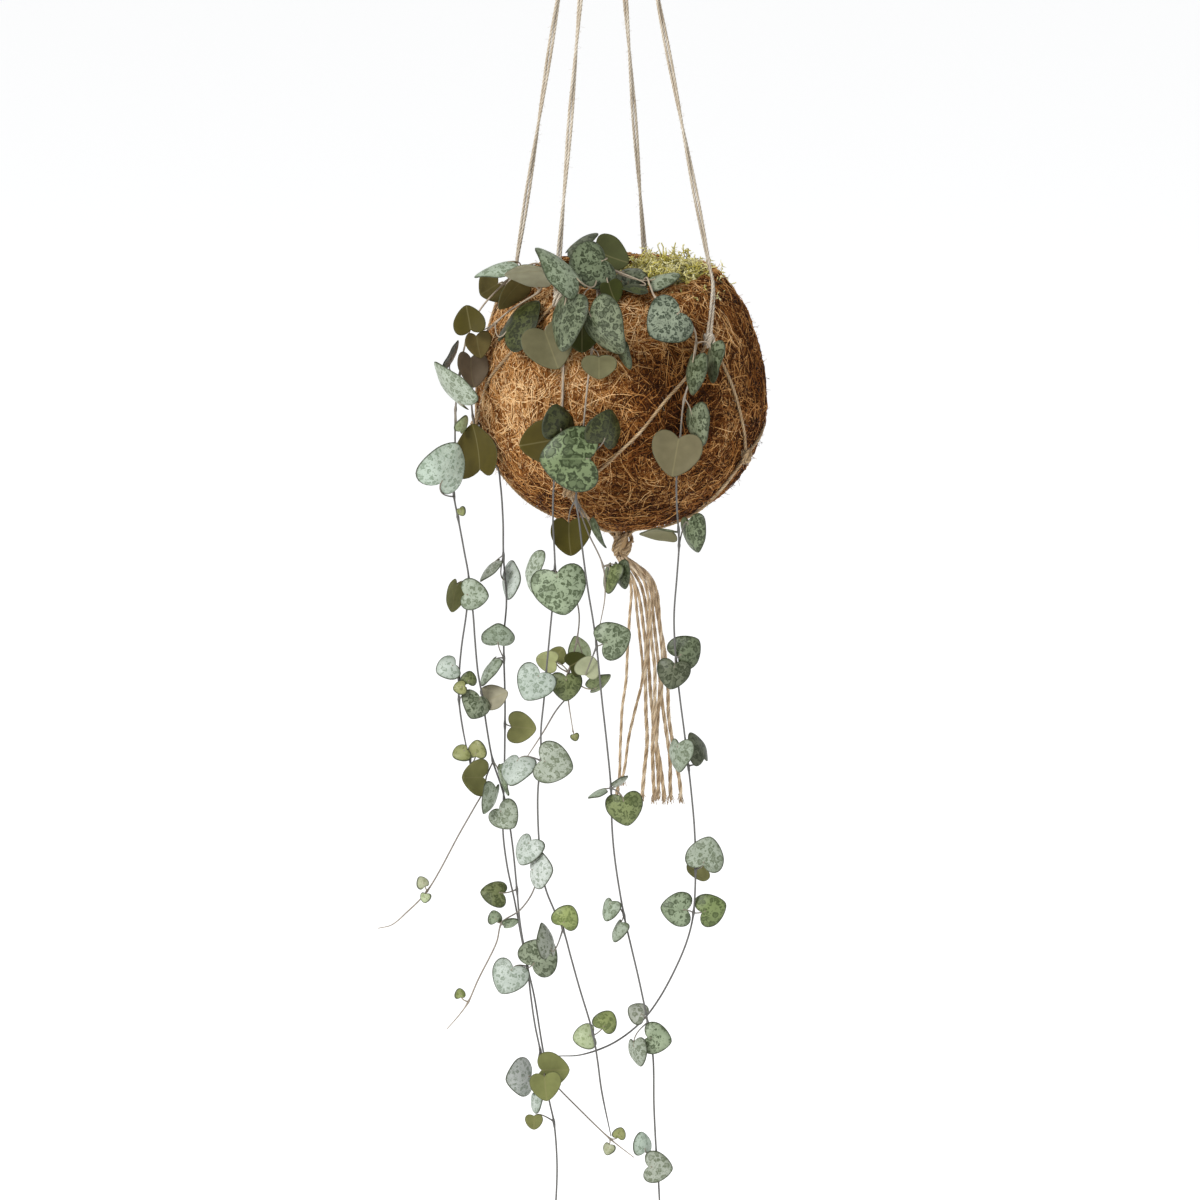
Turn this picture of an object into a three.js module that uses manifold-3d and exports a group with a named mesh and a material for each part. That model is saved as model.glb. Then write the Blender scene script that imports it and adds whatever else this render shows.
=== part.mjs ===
// A hanging kokedama: a coir-wrapped ball of soil with a string-of-hearts plant,
// held in a knotted cradle of jute twine, with a tassel under the ball.
// Millimetres. +X is to the right, +Y away from the viewer, +Z up. The origin is the
// point where the hanging loop bears on its hook.

import * as THREE from 'three';
import { mergeVertices } from 'three/addons/utils/BufferGeometryUtils.js';
import Module from 'manifold-3d';

const wasm = await Module();
wasm.setup();

// ---------------------------------------------------------------- driving dimensions

const GAP = 0.3; // clearance between pieces that touch

const BALL = {
  x: 7, // the ball hangs a little to the right of the hook
  z: -292, // its widest level
  radius: 57,
  lower: 51, // height of its lower half
  upper: 73, // height that its upper half would have if it closed
  rim: 54, // the opening's rim, above the widest level
  rimDip: 6, // how much lower the rim is at the front than at the back
  dipReach: 45, // distance from the axis at which the dip is full
  wall: 4, // thickness of the coir
};

const SPOKES = 24; // flats round the ball
const SOIL_TOP = 45; // above the widest level
const STEM_HOLE = 1.1; // radius of the hole that a stem stands in
const ROOT_DEPTH = 5;
const STEM_RISE = 3; // how far a stem rises straight out of the soil

const MOSS = { x: 24.5, y: 1, wide: 16.5, deep: 29, height: 13, tufts: 24, tuft: 3.2 };

const TWINE = 0.65; // radius of one strand of jute twine
const DOUBLED_TWINE = 1.1; // radius round two strands side by side
const LOOP = { width: 15, height: 25, twine: 1.2 };
const KNOT_RIDGE = 0.08; // height of a knot's ridges, as a share of its radius
const TOP_KNOT = { z: -32, radius: 5.6, height: 14 };
const CORD_PARTING = { z: -36, ring: 3.2 }; // where the four cords leave the top knot
const SHOULDER_KNOT = { radius: 2.4, height: 6.5 };
const LOWER_KNOT = { radius: 2.3, height: 6 };
const BOTTOM_KNOT = { across: 6.8, drop: 315, radius: 4.6, height: 11 };
const TASSEL_RING = 2.5; // the tassel's strands leave the bottom knot in a ring

const STEM = 0.6; // radius of a vine's main stem
const RUNNER = 0.5; // radius of a young side stem
const STEM_STEP = 15; // length of a stem's straight pieces
const PETIOLE = 0.45;
const PETIOLE_SUNK = 1.2; // how far a petiole runs into its blade
const STEM_LIFT = 2.9; // a stem on the ball runs over the twine, so it is this far off the coir
const LEAF_LIFT = 6;

const BLADE = {
  thickness: 0.8,
  middle: 0.3, // from the notch to the blade's middle, as a share of its width
  fold: 0.13, // how far the lobes' edges lie below the midrib, as a share of its width
  droop: 0.1, // how far the tip lies below the middle
};

// Half of the heart outline, from the notch to the tip, in widths of the blade:
// first across from the midrib, then along it.
const HEART = [
  [0.2, -0.13],
  [0.44, -0.07],
  [0.49, 0.2],
  [0.28, 0.55],
];
const YOUNG_HEART = [
  [0.34, -0.09],
  [0.46, 0.22],
  [0.22, 0.6],
];
const YOUNG = 12; // a blade narrower than this has the young outline
const HEART_TIP = 0.78;
const HEART_MIDDLE = 0.32;

// The part is set out as it is seen from the front by an eye a little above it.
const SIGHT = { pitch: THREE.MathUtils.degToRad(10), distance: 3000, across: -1.6, drop: 338 };
const SIGHT_RIGHT = new THREE.Vector3(1, 0, 0);
const SIGHT_UP = new THREE.Vector3(0, Math.sin(SIGHT.pitch), Math.cos(SIGHT.pitch));
const SIGHT_NEAR = new THREE.Vector3(0, -Math.cos(SIGHT.pitch), Math.sin(SIGHT.pitch));
// The height of the point that the eye looks at: the cords part SIGHT.drop above it, as seen.
const SIGHT_LEVEL = CORD_PARTING.z - heightAt(SIGHT.drop, 0);

const COLOURS = {
  twine: 0xc4a67c,
  coir: 0xa96c3c,
  soil: 0x3a2a1e,
  moss: 0x8c8f36,
  leaf: 0x86a186,
  crownLeaf: 0x5f7a5c,
};

// ---------------------------------------------------------------- the plant's layout
//
// A vine is a list of stems, and a stem is a list of places from its root or its parent stem
// to its tip. A place is [[across, drop, depth], leaf, leaf...]: across is measured to the
// right of the hook, drop below the cords' parting, both as seen, and depth behind the hook.
// A place with no depth lies on the ball. A leaf is [across, drop, depth, width, clock, lean,
// roll]: the middle of its blade, the blade's width, the way that its tip points as seen
// (0 right, 90 up), how far the tip leans to the viewer, and the blade's turn about its
// midrib (0 shows its upper face, 180 its underside). COIR as a depth puts it on the ball.

const COIR = null;

const VINES = {
  vine_1_far_left: [
    {
      root: [-20, -3],
      places: [
        [[-26, 203.5, -6]],
        [[-33, 205.5, -9], [-43, 204.6, -21, 21, 197, 0, 75]],
        [[-39.6, 211, -12], [-45.4, 213.4, -9.5, 15, 215, 40, 180]],
        [[-49.6, 222, -16]],
        [[-55, 234, -19], [-50.6, 236, -24.5, 12, -80, 0, 150]],
        [[-58, 249, -20], [-60.4, 240.5, -21, 14.5, 67, 0, 85], [-62, 253.5, -32.5, 26, 128, 0, -72],
          [-53.2, 246, -25, 16, -85, 10, 140]],
        [[-59.4, 262, -20], [-56.4, 268, -22, 9, 65, 0, 60]],
        [[-59.6, 280, -20]],
        [[-60, 296, -20], [-62.4, 285.2, -32, 23, 65, 0, 40]],
        [[-58.4, 305, -20], [-57, 302.5, -22, 4.5, -60, 0, 30]],
        [[-56, 318, -20]],
        [[-54, 330.5, -20], [-60, 336, -17, 15, -104, 0, 125], [-52, 336, -24, 13, -5, 10, 10]],
        [[-55, 343, -20]],
        [[-57, 357, -20]],
        [[-58, 369, -20], [-62.4, 365, -22, 11, 200, 10, 20], [-54, 369.5, -23, 7, 80, 0, 10]],
        [[-58, 378, -20], [-57.5, 373, -26, 6.5, 190, 0, 20]],
        [[-56.4, 390, -20]],
        [[-53.5, 403.5, -20], [-57, 399, -24, 8.5, 200, 10, 30], [-51, 398, -23, 9, 85, 0, -25]],
      ],
    },
    {
      places: [
        [[-54, 330.5, -20]],
        [[-52.4, 343, -21]],
        [[-51.6, 354, -21]],
        [[-50.4, 367, -21]],
        [[-48.4, 378, -21], [-51, 380, -26, 13, -110, 25, -20], [-43.5, 377, -17, 12, 20, 0, 150]],
        [[-47.2, 387, -21]],
        [[-44.4, 402.5, -21], [-41, 410, -24, 15, -74, 0, 80]],
        [[-40.6, 414, -21]],
        [[-38.4, 424, -21], [-39.6, 424.5, -26, 13, -51, 10, 10]],
        [[-36.6, 436, -21]],
        [[-34.8, 454, -20], [-44, 455, -22, 12, 175, 0, 30]],
        [[-33.6, 467, -20]],
        [[-30.6, 485, -19], [-38.4, 489, -21.5, 15.5, -115, 0, 10], [-25.6, 480.5, -25, 17, 50, 15, 0]],
        [[-29.2, 497, -19]],
        [[-27.6, 508, -18.5]],
        [[-25.4, 518.5, -18], [-20.6, 526, -20.5, 15, 0, -10, 180]],
        [[-23.6, 528, -18], [-33, 529, -18, 16, 185, 40, 0], [-23.5, 532.5, -25, 13, -85, 0, 170]],
        [[-24, 537, -18], [-27.6, 539, -20, 10, -90, 0, 60]],
      ],
    },
    {
      runner: true,
      places: [
        [[-44.4, 402.5, -21]],
        [[-47, 408.5, -22]],
        [[-48, 414, -23], [-52, 409, -26, 15, 180, 40, 180], [-45, 417.5, -27, 15, -111, 0, -65]],
        [[-51.6, 420.5, -23]],
        [[-57.6, 431, -24]],
        [[-70.8, 454.5, -26], [-72.6, 451, -28, 6, 120, 0, 30], [-71.5, 457, -28, 5, -100, 0, 20]],
        [[-79, 463, -26.5]],
        [[-85, 468, -27]],
        [[-90.4, 469.3, -27]],
      ],
    },
  ],

  vine_2_left: [
    {
      root: [-16, -12],
      places: [
        [[-20, 207.5, -20]],
        [[-23, 209.5, -27], [-30, 206.5, -39, 21, 180, 0, 112]],
        [[-26, 214.5], [-37.6, 215, -28, 17, 230, 0, 120]],
        [[-32, 218.5]],
        [[-38, 222.4]],
        [[-43.2, 227, -23], [-35, 226, COIR, 25, 50, 0, -60], [-54, 226, -26, 13, 100, 0, 175]],
        [[-47.2, 231, -21]],
        [[-50.8, 238, -18]],
        [[-52.2, 249, -16]],
        [[-53, 258, -15]],
        [[-52.4, 265, -15], [-50, 278.4, -21, 24, 97, 0, 140]],
        [[-50.4, 274, -16]],
        [[-47.6, 281, -17]],
        [[-42.8, 284.5, -17.5]],
        [[-41.4, 292, -16]],
        [[-40.4, 306, -14]],
        [[-40.2, 320.5, -13], [-46, 325.5, -14, 13.5, -131, 0, 78], [-38, 330, -12.5, 16, -5, 58, 0]],
        [[-39, 338.5, -12]],
        [[-40, 352, -12]],
        [[-40, 361.5, -12], [-42.4, 352.5, -16.5, 13.5, 90, 40, 0], [-46.6, 366, -14, 15, -119, 0, 72]],
        [[-39.6, 376, -12]],
        [[-39.6, 388, -12], [-33, 389, -10, 13, -5, 0, 180]],
        [[-39.8, 404, -12]],
        [[-40.2, 418, -12]],
        [[-40.4, 430.5, -12]],
        [[-38.8, 444, -11.5]],
        [[-35.6, 459, -11]],
        [[-33, 473, -10.5]],
        [[-30.4, 485.5, -10]],
        [[-27.8, 497, -9.5]],
        [[-25.4, 512, -9]],
        [[-22.8, 528, -8]],
        [[-22, 537.5, -8]],
        [[-20, 547, -7.5], [-28, 546.5, -9, 7.5, -90, 0, 180]],
        [[-18.8, 562.8, -7.5]],
        [[-19.2, 578, -7]],
        [[-20.8, 596, -7]],
      ],
    },
    {
      runner: true,
      places: [
        [[-22.8, 528, -8]],
        [[-18, 533.5, -8]],
        [[-11.6, 540, -8]],
        [[2.4, 553.5, -8], [6.2, 551.5, -9, 6, 70, 0, 10], [1.8, 557.5, -10, 6, -110, 0, 30]],
        [[12, 561, -8]],
      ],
    },
  ],

  vine_3_front_left: [
    {
      root: [-9, -19],
      places: [
        [[-10, 209.5, -27]],
        [[-11.5, 212, -34.5], [-16.6, 226.4, -62.5, 26, -97, 0, 60], [-8.8, 231.6, -57, 16, -90, 0, 180]],
        [[-13, 218]],
        [[-14.8, 226], [-21.6, 236.4, -50.5, 21, -70, 0, 180]],
        [[-16, 240]],
        [[-16.4, 252]],
        [[-16.8, 263, -55.2]],
        [[-18.8, 280, -55]],
        [[-20, 291, -54]],
        [[-20.4, 306, -52.5]],
        [[-19.6, 325.6, -50.5], [-28.8, 327.6, -45, 19, 180, -65, 0], [-17.6, 334, -55, 22, -78, 0, 0]],
        [[-20.4, 338, -50]],
        [[-21.8, 353, -50]],
        [[-23.2, 368, -50], [-28, 371.5, -52.5, 16, -120, 0, 0]],
        [[-24, 378, -50]],
        [[-25.2, 390, -49.5]],
        [[-25.2, 402, -49.5], [-20, 403.5, -53.5, 17, -15, 0, 0], [-35.6, 405.5, -49, 15.5, -110, 20, 35]],
        [[-26.4, 414, -49.5]],
        [[-26.4, 426, -49.5]],
        [[-25.6, 438.5, -49], [-31, 438, -50, 14, -115, 0, 40], [-26, 446, -53.5, 15.5, 0, 48, 0]],
        [[-23.6, 452.5, -48.5]],
        [[-20.4, 461, -48]],
        [[-16.4, 469.6, -48], [-15.2, 465, -50, 11.5, 65, 0, 0], [-22.4, 474, -46, 16, 105, 0, 65]],
        [[-13.2, 481, -48]],
        [[-10, 492.5, -48.5]],
        [[-4.4, 511.5, -49], [-7.6, 512.5, -47.5, 11, 190, 0, 15], [0.8, 506.8, -51, 10.5, 60, 0, 10]],
        [[-2.6, 522, -49]],
        [[-1, 534, -49]],
        [[2.8, 552.5, -49]],
      ],
    },
    {
      runner: true,
      places: [
        [[-25.6, 438.5, -49]],
        [[-28, 453.6, -48]],
        [[-33.6, 462, -47.5]],
        [[-40.8, 467, -47], [-43.6, 465, -47.5, 6.5, 105, 0, 20], [-37.5, 467.5, -50.5, 8, 20, 0, 60]],
        [[-43, 475, -47]],
        [[-50.4, 490, -47]],
        [[-54.4, 499, -47], [-57.6, 495.5, -47.5, 5, 100, 0, 20]],
        [[-57.6, 503.6, -47]],
        [[-62.8, 509.6, -47]],
      ],
    },
    {
      runner: true,
      places: [
        [[-19.6, 325.6, -50.5]],
        [[-12.8, 334, -46]],
        [[-10, 343, -44]],
        [[-10.8, 354, -43], [-9.6, 357.5, -39, 12, 110, 0, 40]],
        [[-14, 366.5, -43], [-22.4, 362, -45, 10.5, 170, 0, 150], [-18.4, 360, -42, 8, 60, 0, 180],
          [-11, 363, -45, 10, 30, 0, 180], [-15.2, 372.5, -46, 13, -90, 0, 0],
          [-1.6, 371.5, -44, 12, 35, 0, 60]],
        [[-14.4, 376, -42]],
        [[-12.4, 390.5, -42], [-11.6, 392.8, -42, 3.8, -70, 0, 0]],
      ],
    },
    {
      runner: true,
      places: [
        [[-14.4, 376, -42]],
        [[-19, 382, -41.5]],
        [[-24.4, 391, -41]],
        [[-31.6, 402, -41]],
      ],
    },
  ],

  vine_4_front: [
    {
      root: [-1, -21],
      places: [
        [[-2, 209.5, -28]],
        [[-2.6, 212.5, -38], [-1, 230, -70.5, 27, -55, 0, 56], [7.6, 240.5, -60, 13, -65, 0, 70]],
        [[-2.8, 218]],
        [[-4, 228]],
        [[-4.8, 238], [-2, 244, COIR, 14, -90, -40, 180]],
        [[-6.4, 250]],
        [[-7.6, 262, -58.6]],
        [[-9.2, 280, -58.8], [-26, 275, -57, 17, 190, 0, 180], [-18, 266.5, -59, 15, 100, 0, 30],
          [-13.6, 281.5, -66.5, 26, 180, 0, 0], [1.2, 269.6, -62.5, 17, 75, 0, 35]],
        [[-10.4, 290, -58.6]],
        [[-11.2, 298, -58.6], [-14, 312.5, -47, 17, -88, 0, 160], [-3.2, 311.6, -56, 15, -61, 0, 85]],
        [[-10, 306, -58.6]],
        [[-8.6, 318, -58.6]],
        [[-6.4, 334, -58]],
        [[-4.4, 346, -57.5]],
        [[-3, 356, -57], [4, 353.6, -61, 15.5, 25, 0, 0], [-6.4, 365, -54, 10.5, 70, 0, 180]],
        [[-0.8, 378, -56]],
        [[1.2, 396, -56]],
        [[2.8, 413.2, -56], [-2.4, 415, -57, 10, 205, 0, 80], [6.4, 411, -57, 9, 35, 0, 75],
          [8.4, 421.5, -60, 15, -80, 0, 0]],
        [[3.2, 428.5, -56]],
        [[4.4, 442, -56]],
        [[8, 464, -55], [2, 461.6, -56, 11, -110, 0, 50], [5.6, 470, -57, 11, -115, 0, 60]],
        [[11.2, 478, -55]],
        [[14, 490, -54.5]],
        [[17.6, 507.5, -54], [13.6, 503, -53.5, 9.5, 150, 0, 20], [21.2, 513.6, -57.5, 13, -10, 0, 0],
          [12.8, 519, -56, 13, -75, 0, 55]],
        [[19.6, 520.5, -53.5]],
        [[20, 540.5, -53]],
        [[21, 560, -53], [15.8, 555.6, -52, 11, 100, 0, 45], [21.6, 565, -56.5, 13, -5, 0, 0]],
        [[21.8, 570, -53]],
        [[22.6, 590, -53]],
      ],
    },
    {
      runner: true,
      places: [
        [[-11.2, 298, -58.6]],
        [[-6.4, 311, -56]],
        [[-0.4, 324.4, -55], [2, 329, -55, 14, -100, 0, 60], [6.4, 328, -54, 13, -75, 0, 60]],
        [[0.4, 336.4, -54.5]],
        [[-1.6, 348, -54.5]],
      ],
    },
  ],

  vine_5_right: [
    {
      root: [14, -26],
      places: [
        [[17, 209, -33]],
        [[18.5, 212.5, -38.5]],
        [[21, 217.5], [25.6, 226.4, -54.5, 20.5, 217, 20, 0]],
        [[30.4, 223.5]],
        [[36, 229.5]],
        [[36.8, 235.5], [35.2, 247.2, -60, 19, -95, 0, 66], [42.6, 242.4, -56, 19, -92, 0, 72]],
        [[34.5, 249]],
        [[32, 258, -54.4], [36.4, 268, -60.5, 19, -75, 0, 62]],
        [[30.4, 274, -54.8], [28.8, 279.5, -61, 20, -100, 0, 180]],
        [[29, 288, -54.6]],
        [[29.2, 302, -54]],
        [[29.8, 310, -53.5], [22, 310.6, -52, 17, 180, 0, 105]],
        [[30, 316, -53.4], [34.8, 311.6, -54, 17, -75, 0, 55]],
        [[29.2, 328, -52]],
        [[28, 345, -51]],
        [[28.8, 362.4, -50], [33, 358, -49, 14, 40, 0, 0], [27.6, 367.6, -53, 13.5, -100, 0, 0]],
        [[30.2, 376, -50]],
        [[32, 390, -49]],
        [[33.8, 405, -48.5], [29.6, 400, -51, 15, -92, 0, 50], [38, 397, -48, 15, 115, 0, 60]],
        [[34.8, 414, -48]],
        [[36.2, 430, -47.5]],
        [[36.6, 446, -47], [40.8, 439.6, -51, 15.5, 75, 0, 0], [36.4, 445, -42.5, 13, 200, 50, 180]],
        [[35.8, 463, -46], [29, 461.6, -48, 14, 175, 0, 0], [43, 461.6, -47, 13.5, 20, 0, 0]],
        [[34.2, 471, -46]],
        [[30.6, 481, -45.5]],
        [[22, 497.5, -45]],
        [[14.4, 507.2, -44.5]],
        [[3.2, 515.5, -43.5]],
        [[-9.6, 520, -43]],
        [[-18, 520.4, -43]],
      ],
    },
  ],

  crown_leaves: [
    {
      root: [-3, -9],
      places: [
        [[-3.5, 205, -16], [-9.6, 194.6, -14, 17, 32, 0, -75], [2.4, 200.8, -18, 17, -20, 0, 160]],
        [[-4, 202.5, -24], [-5.2, 204.4, -42, 21.5, 205, 25, 10], [10.8, 208, -26, 15, -15, 30, -50],
          [-16.2, 204.4, -59, 28, 137, 0, 68]],
        [[2, 205.5, -30], [23.6, 209, -31.5, 15, 15, 0, -65], [12, 212.5, -40.5, 13, 180, 0, 75],
          [2.8, 214.4, -44, 11, -70, 0, 150]],
      ],
    },
  ],
};

// ---------------------------------------------------------------- placing

// How far above the point looked at a point lies that is seen `rise` above it.
function heightAt(rise, depth) {
  const cos = Math.cos(SIGHT.pitch);
  const sin = Math.sin(SIGHT.pitch);
  const away = SIGHT.distance;
  return (rise * (away + depth * cos) - away * depth * sin) / (away * cos + rise * sin);
}

// The point seen at (across, drop) that lies `depth` behind the hook.
function seen(across, drop, depth) {
  const height = heightAt(SIGHT.drop - drop, depth);
  const away = SIGHT.distance + depth * Math.cos(SIGHT.pitch) - height * Math.sin(SIGHT.pitch);
  const x = SIGHT.across + (across - SIGHT.across) * (away / SIGHT.distance);
  return new THREE.Vector3(x, depth, SIGHT_LEVEL + height);
}

// Below 0 inside the ball grown by `lift`, above 0 outside it.
function outsideBall(point, lift) {
  const height = point.z - BALL.z;
  const reach = (height < 0 ? BALL.lower : BALL.upper) + lift;
  const radius = BALL.radius + lift;
  return Math.hypot(point.x - BALL.x, point.y) ** 2 / radius ** 2 + (height / reach) ** 2 - 1;
}

// The point on the ball's near side, `lift` off the coir, that is seen at (across, drop).
function onBall(across, drop, lift) {
  let near = -2 * BALL.radius;
  let far = 0;
  for (let halving = 0; halving < 40; halving += 1) {
    const middle = (near + far) / 2;
    if (outsideBall(seen(across, drop, middle), lift) > 0) near = middle;
    else far = middle;
  }
  return seen(across, drop, far);
}

// The point on the ball at an angle from the right (90 is behind) and a height above its
// widest level, `lift` off the coir.
function roundBall(angle, height, lift) {
  const turn = THREE.MathUtils.degToRad(angle);
  const reach = (height < 0 ? BALL.lower : BALL.upper) + lift;
  const radius = (BALL.radius + lift) * Math.sqrt(1 - (height / reach) ** 2);
  const x = BALL.x + radius * Math.cos(turn);
  return new THREE.Vector3(x, radius * Math.sin(turn), BALL.z + height);
}

function placed([across, drop, depth], lift) {
  return depth == null ? onBall(across, drop, lift) : seen(across, drop, depth);
}

// How far the wrap and what fills it sink at a place, towards the front and near the rim.
function dip(y, height) {
  const front = THREE.MathUtils.clamp((1 - y / BALL.dipReach) / 2, 0, 1);
  const nearRim = Math.max(0, (2 * height) / BALL.rim - 1);
  return BALL.rimDip * front * nearRim ** 2;
}

// ---------------------------------------------------------------- solids

function toSolid(geometry) {
  const bare = geometry.clone();
  bare.deleteAttribute('normal');
  bare.deleteAttribute('uv');
  const merged = mergeVertices(bare, 1e-4);
  const vertProperties = new Float32Array(merged.attributes.position.array);
  const triVerts = new Uint32Array(merged.index.array);
  const solid = new wasm.Manifold(new wasm.Mesh({ numProp: 3, vertProperties, triVerts }));
  if (solid.volume() > 0) return solid;
  for (let corner = 0; corner < triVerts.length; corner += 3) {
    const swapped = triVerts[corner];
    triVerts[corner] = triVerts[corner + 1];
    triVerts[corner + 1] = swapped;
  }
  return new wasm.Manifold(new wasm.Mesh({ numProp: 3, vertProperties, triVerts }));
}

function solidOf(points, triangles) {
  const geometry = new THREE.BufferGeometry().setFromPoints(points);
  geometry.setIndex(triangles.flat());
  return toSolid(geometry);
}

function toGeometry(solid) {
  const mesh = solid.getMesh();
  const geometry = new THREE.BufferGeometry();
  geometry.setAttribute('position', new THREE.Float32BufferAttribute(mesh.vertProperties, 3));
  geometry.setIndex(new THREE.Uint32BufferAttribute(mesh.triVerts, 1));
  const faceted = geometry.toNonIndexed();
  faceted.computeVertexNormals();
  return faceted;
}

// Joins solids into one body, without the slivers and hollows that joining leaves.
function fuse(solids) {
  let round = solids;
  while (round.length > 1) {
    const joined = [];
    for (let index = 0; index < round.length; index += 2) {
      const pair = round[index + 1];
      joined.push(pair ? round[index].add(pair) : round[index]);
    }
    round = joined;
  }
  const bodies = round[0].decompose();
  return bodies.reduce((left, right) => (right.volume() > left.volume() ? right : left));
}

function section(radius, sides) {
  const outline = new THREE.Shape();
  for (let side = 0; side < sides; side += 1) {
    const turn = (2 * Math.PI * side) / sides;
    const draw = side === 0 ? 'moveTo' : 'lineTo';
    outline[draw](radius * Math.cos(turn), radius * Math.sin(turn));
  }
  outline.closePath();
  return outline;
}

function stepsAlong(path, step) {
  return Math.max(1, Math.round(path.getLength() / step));
}

function tube(path, radius, sides, step) {
  const options = { steps: stepsAlong(path, step), bevelEnabled: false, extrudePath: path };
  return toSolid(new THREE.ExtrudeGeometry(section(radius, sides), options));
}

function smooth(points) {
  return new THREE.CatmullRomCurve3(points, false, 'centripetal');
}

// A knot: a squat lump with the ridges of the turns that it is tied from.
function knot({ centre, radius, height }) {
  const lump = new THREE.SphereGeometry(1, 9, 5);
  const spots = lump.attributes.position;
  const spot = new THREE.Vector3();
  for (let index = 0; index < spots.count; index += 1) {
    spot.fromBufferAttribute(spots, index);
    const turn = Math.atan2(spot.z, spot.x);
    const ridge = 1 + KNOT_RIDGE * Math.cos(3 * turn + 4 * spot.y) * (1 - spot.y ** 2);
    const reach = radius * ridge;
    const x = centre.x + spot.x * reach;
    const y = centre.y - spot.z * reach;
    spots.setXYZ(index, x, y, centre.z + (spot.y * height) / 2);
  }
  return toSolid(lump);
}

// The point just outside a knot, on the way to another point: a cord's end.
function knotEdge({ centre, radius, height }, towards) {
  const way = towards.clone().sub(centre).normalize();
  const wide = radius * (1 + KNOT_RIDGE / 2);
  const reach = 1 / Math.hypot(Math.hypot(way.x, way.y) / wide, way.z / (height / 2));
  return centre.clone().addScaledVector(way, reach + GAP);
}

// ---------------------------------------------------------------- ball

// The ball's outline, `inset` inside the coir's outer face, from its lower pole up to `top`.
function ballOutline(inset, top, count) {
  const points = [];
  const lowest = -Math.PI / 2;
  const highest = Math.asin(top / (BALL.upper - inset));
  for (let index = 0; index <= count; index += 1) {
    const turn = lowest + ((highest - lowest) * index) / count;
    const reach = turn < 0 ? BALL.lower : BALL.upper;
    const radius = index === 0 ? 0 : (BALL.radius - inset) * Math.cos(turn);
    points.push(new THREE.Vector2(radius, (reach - inset) * Math.sin(turn)));
  }
  return points;
}

function turned(outline, segments) {
  const geometry = new THREE.LatheGeometry(outline, segments);
  geometry.rotateX(Math.PI / 2);
  const spots = geometry.attributes.position;
  for (let index = 0; index < spots.count; index += 1) {
    const height = spots.getZ(index);
    spots.setZ(index, height - dip(spots.getY(index), height));
  }
  geometry.translate(BALL.x, 0, BALL.z);
  return toSolid(geometry);
}

function coirWrap() {
  const outer = ballOutline(0, BALL.rim, 9);
  const inner = ballOutline(BALL.wall, SOIL_TOP, 6);
  const lip = ballOutline(BALL.wall, BALL.rim, 1).at(-1);
  return turned([...outer, lip, ...inner.reverse()], SPOKES);
}

function stemHole([x, y]) {
  const length = ROOT_DEPTH + STEM_RISE;
  const drill = new THREE.CylinderGeometry(STEM_HOLE, STEM_HOLE, length, 6);
  drill.rotateX(Math.PI / 2);
  drill.translate(x, y, BALL.z + SOIL_TOP - ROOT_DEPTH - GAP + length / 2);
  return toSolid(drill);
}

function soilCore(roots) {
  const wall = ballOutline(BALL.wall + 1.5 * GAP, SOIL_TOP, 6);
  const soil = turned([...wall, new THREE.Vector2(0, SOIL_TOP)], SPOKES);
  return roots.map(stemHole).reduce((left, hole) => left.subtract(hole), soil);
}

function mossHeight(x, y) {
  const reach = Math.hypot((x - MOSS.x) / MOSS.wide, (y - MOSS.y) / MOSS.deep);
  const lumps = 0.84 + 0.12 * Math.sin(0.55 * x) * Math.cos(0.47 * y) + 0.04 * Math.sin(0.9 * y + x);
  return MOSS.height * lumps * Math.sqrt(Math.max(0, 1 - reach ** 2));
}

function mossPoint(x, y, height) {
  const floor = SOIL_TOP + GAP - dip(y, SOIL_TOP);
  return new THREE.Vector3(x, y, BALL.z + floor + height);
}

// The cushion: rings of a lumpy dome over a flat underside.
function mossMound() {
  const rings = 5;
  const spokes = 18;
  const points = [mossPoint(MOSS.x, MOSS.y, 0)];
  const triangles = [];
  for (let ring = 0; ring <= rings; ring += 1) {
    const reach = Math.cos((Math.PI / 2) * (ring / rings));
    for (let spoke = 0; spoke < spokes && ring < rings; spoke += 1) {
      const turn = (2 * Math.PI * spoke) / spokes;
      const x = MOSS.x + MOSS.wide * reach * Math.cos(turn);
      const y = MOSS.y + MOSS.deep * reach * Math.sin(turn);
      points.push(mossPoint(x, y, ring === 0 ? 0 : mossHeight(x, y)));
    }
  }
  points.push(mossPoint(MOSS.x, MOSS.y, mossHeight(MOSS.x, MOSS.y)));
  const top = points.length - 1;
  for (let spoke = 0; spoke < spokes; spoke += 1) {
    const next = (spoke + 1) % spokes;
    triangles.push([0, 1 + next, 1 + spoke]);
    for (let ring = 0; ring < rings - 1; ring += 1) {
      const [low, high] = [1 + ring * spokes, 1 + (ring + 1) * spokes];
      triangles.push([low + spoke, low + next, high + next]);
      triangles.push([low + spoke, high + next, high + spoke]);
    }
    const last = 1 + (rings - 1) * spokes;
    triangles.push([last + spoke, last + next, top]);
  }
  return solidOf(points, triangles);
}

// Tufts that stand out of the cushion, spread by the golden angle and leaning outwards.
function mossTuft(index) {
  const turn = index * Math.PI * (3 - Math.sqrt(5));
  const reach = 0.88 * Math.sqrt((index + 0.5) / MOSS.tufts);
  const x = MOSS.x + MOSS.wide * reach * Math.cos(turn);
  const y = MOSS.y + MOSS.deep * reach * Math.sin(turn);
  const tuft = new THREE.ConeGeometry(0.9, 2 * MOSS.tuft, 4);
  tuft.rotateX(Math.PI / 2);
  tuft.rotateY(0.5 * reach * Math.cos(turn));
  tuft.rotateX(-0.5 * reach * Math.sin(turn));
  const foot = mossPoint(x, y, mossHeight(x, y));
  tuft.translate(foot.x, foot.y, foot.z);
  return toSolid(tuft);
}

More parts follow.
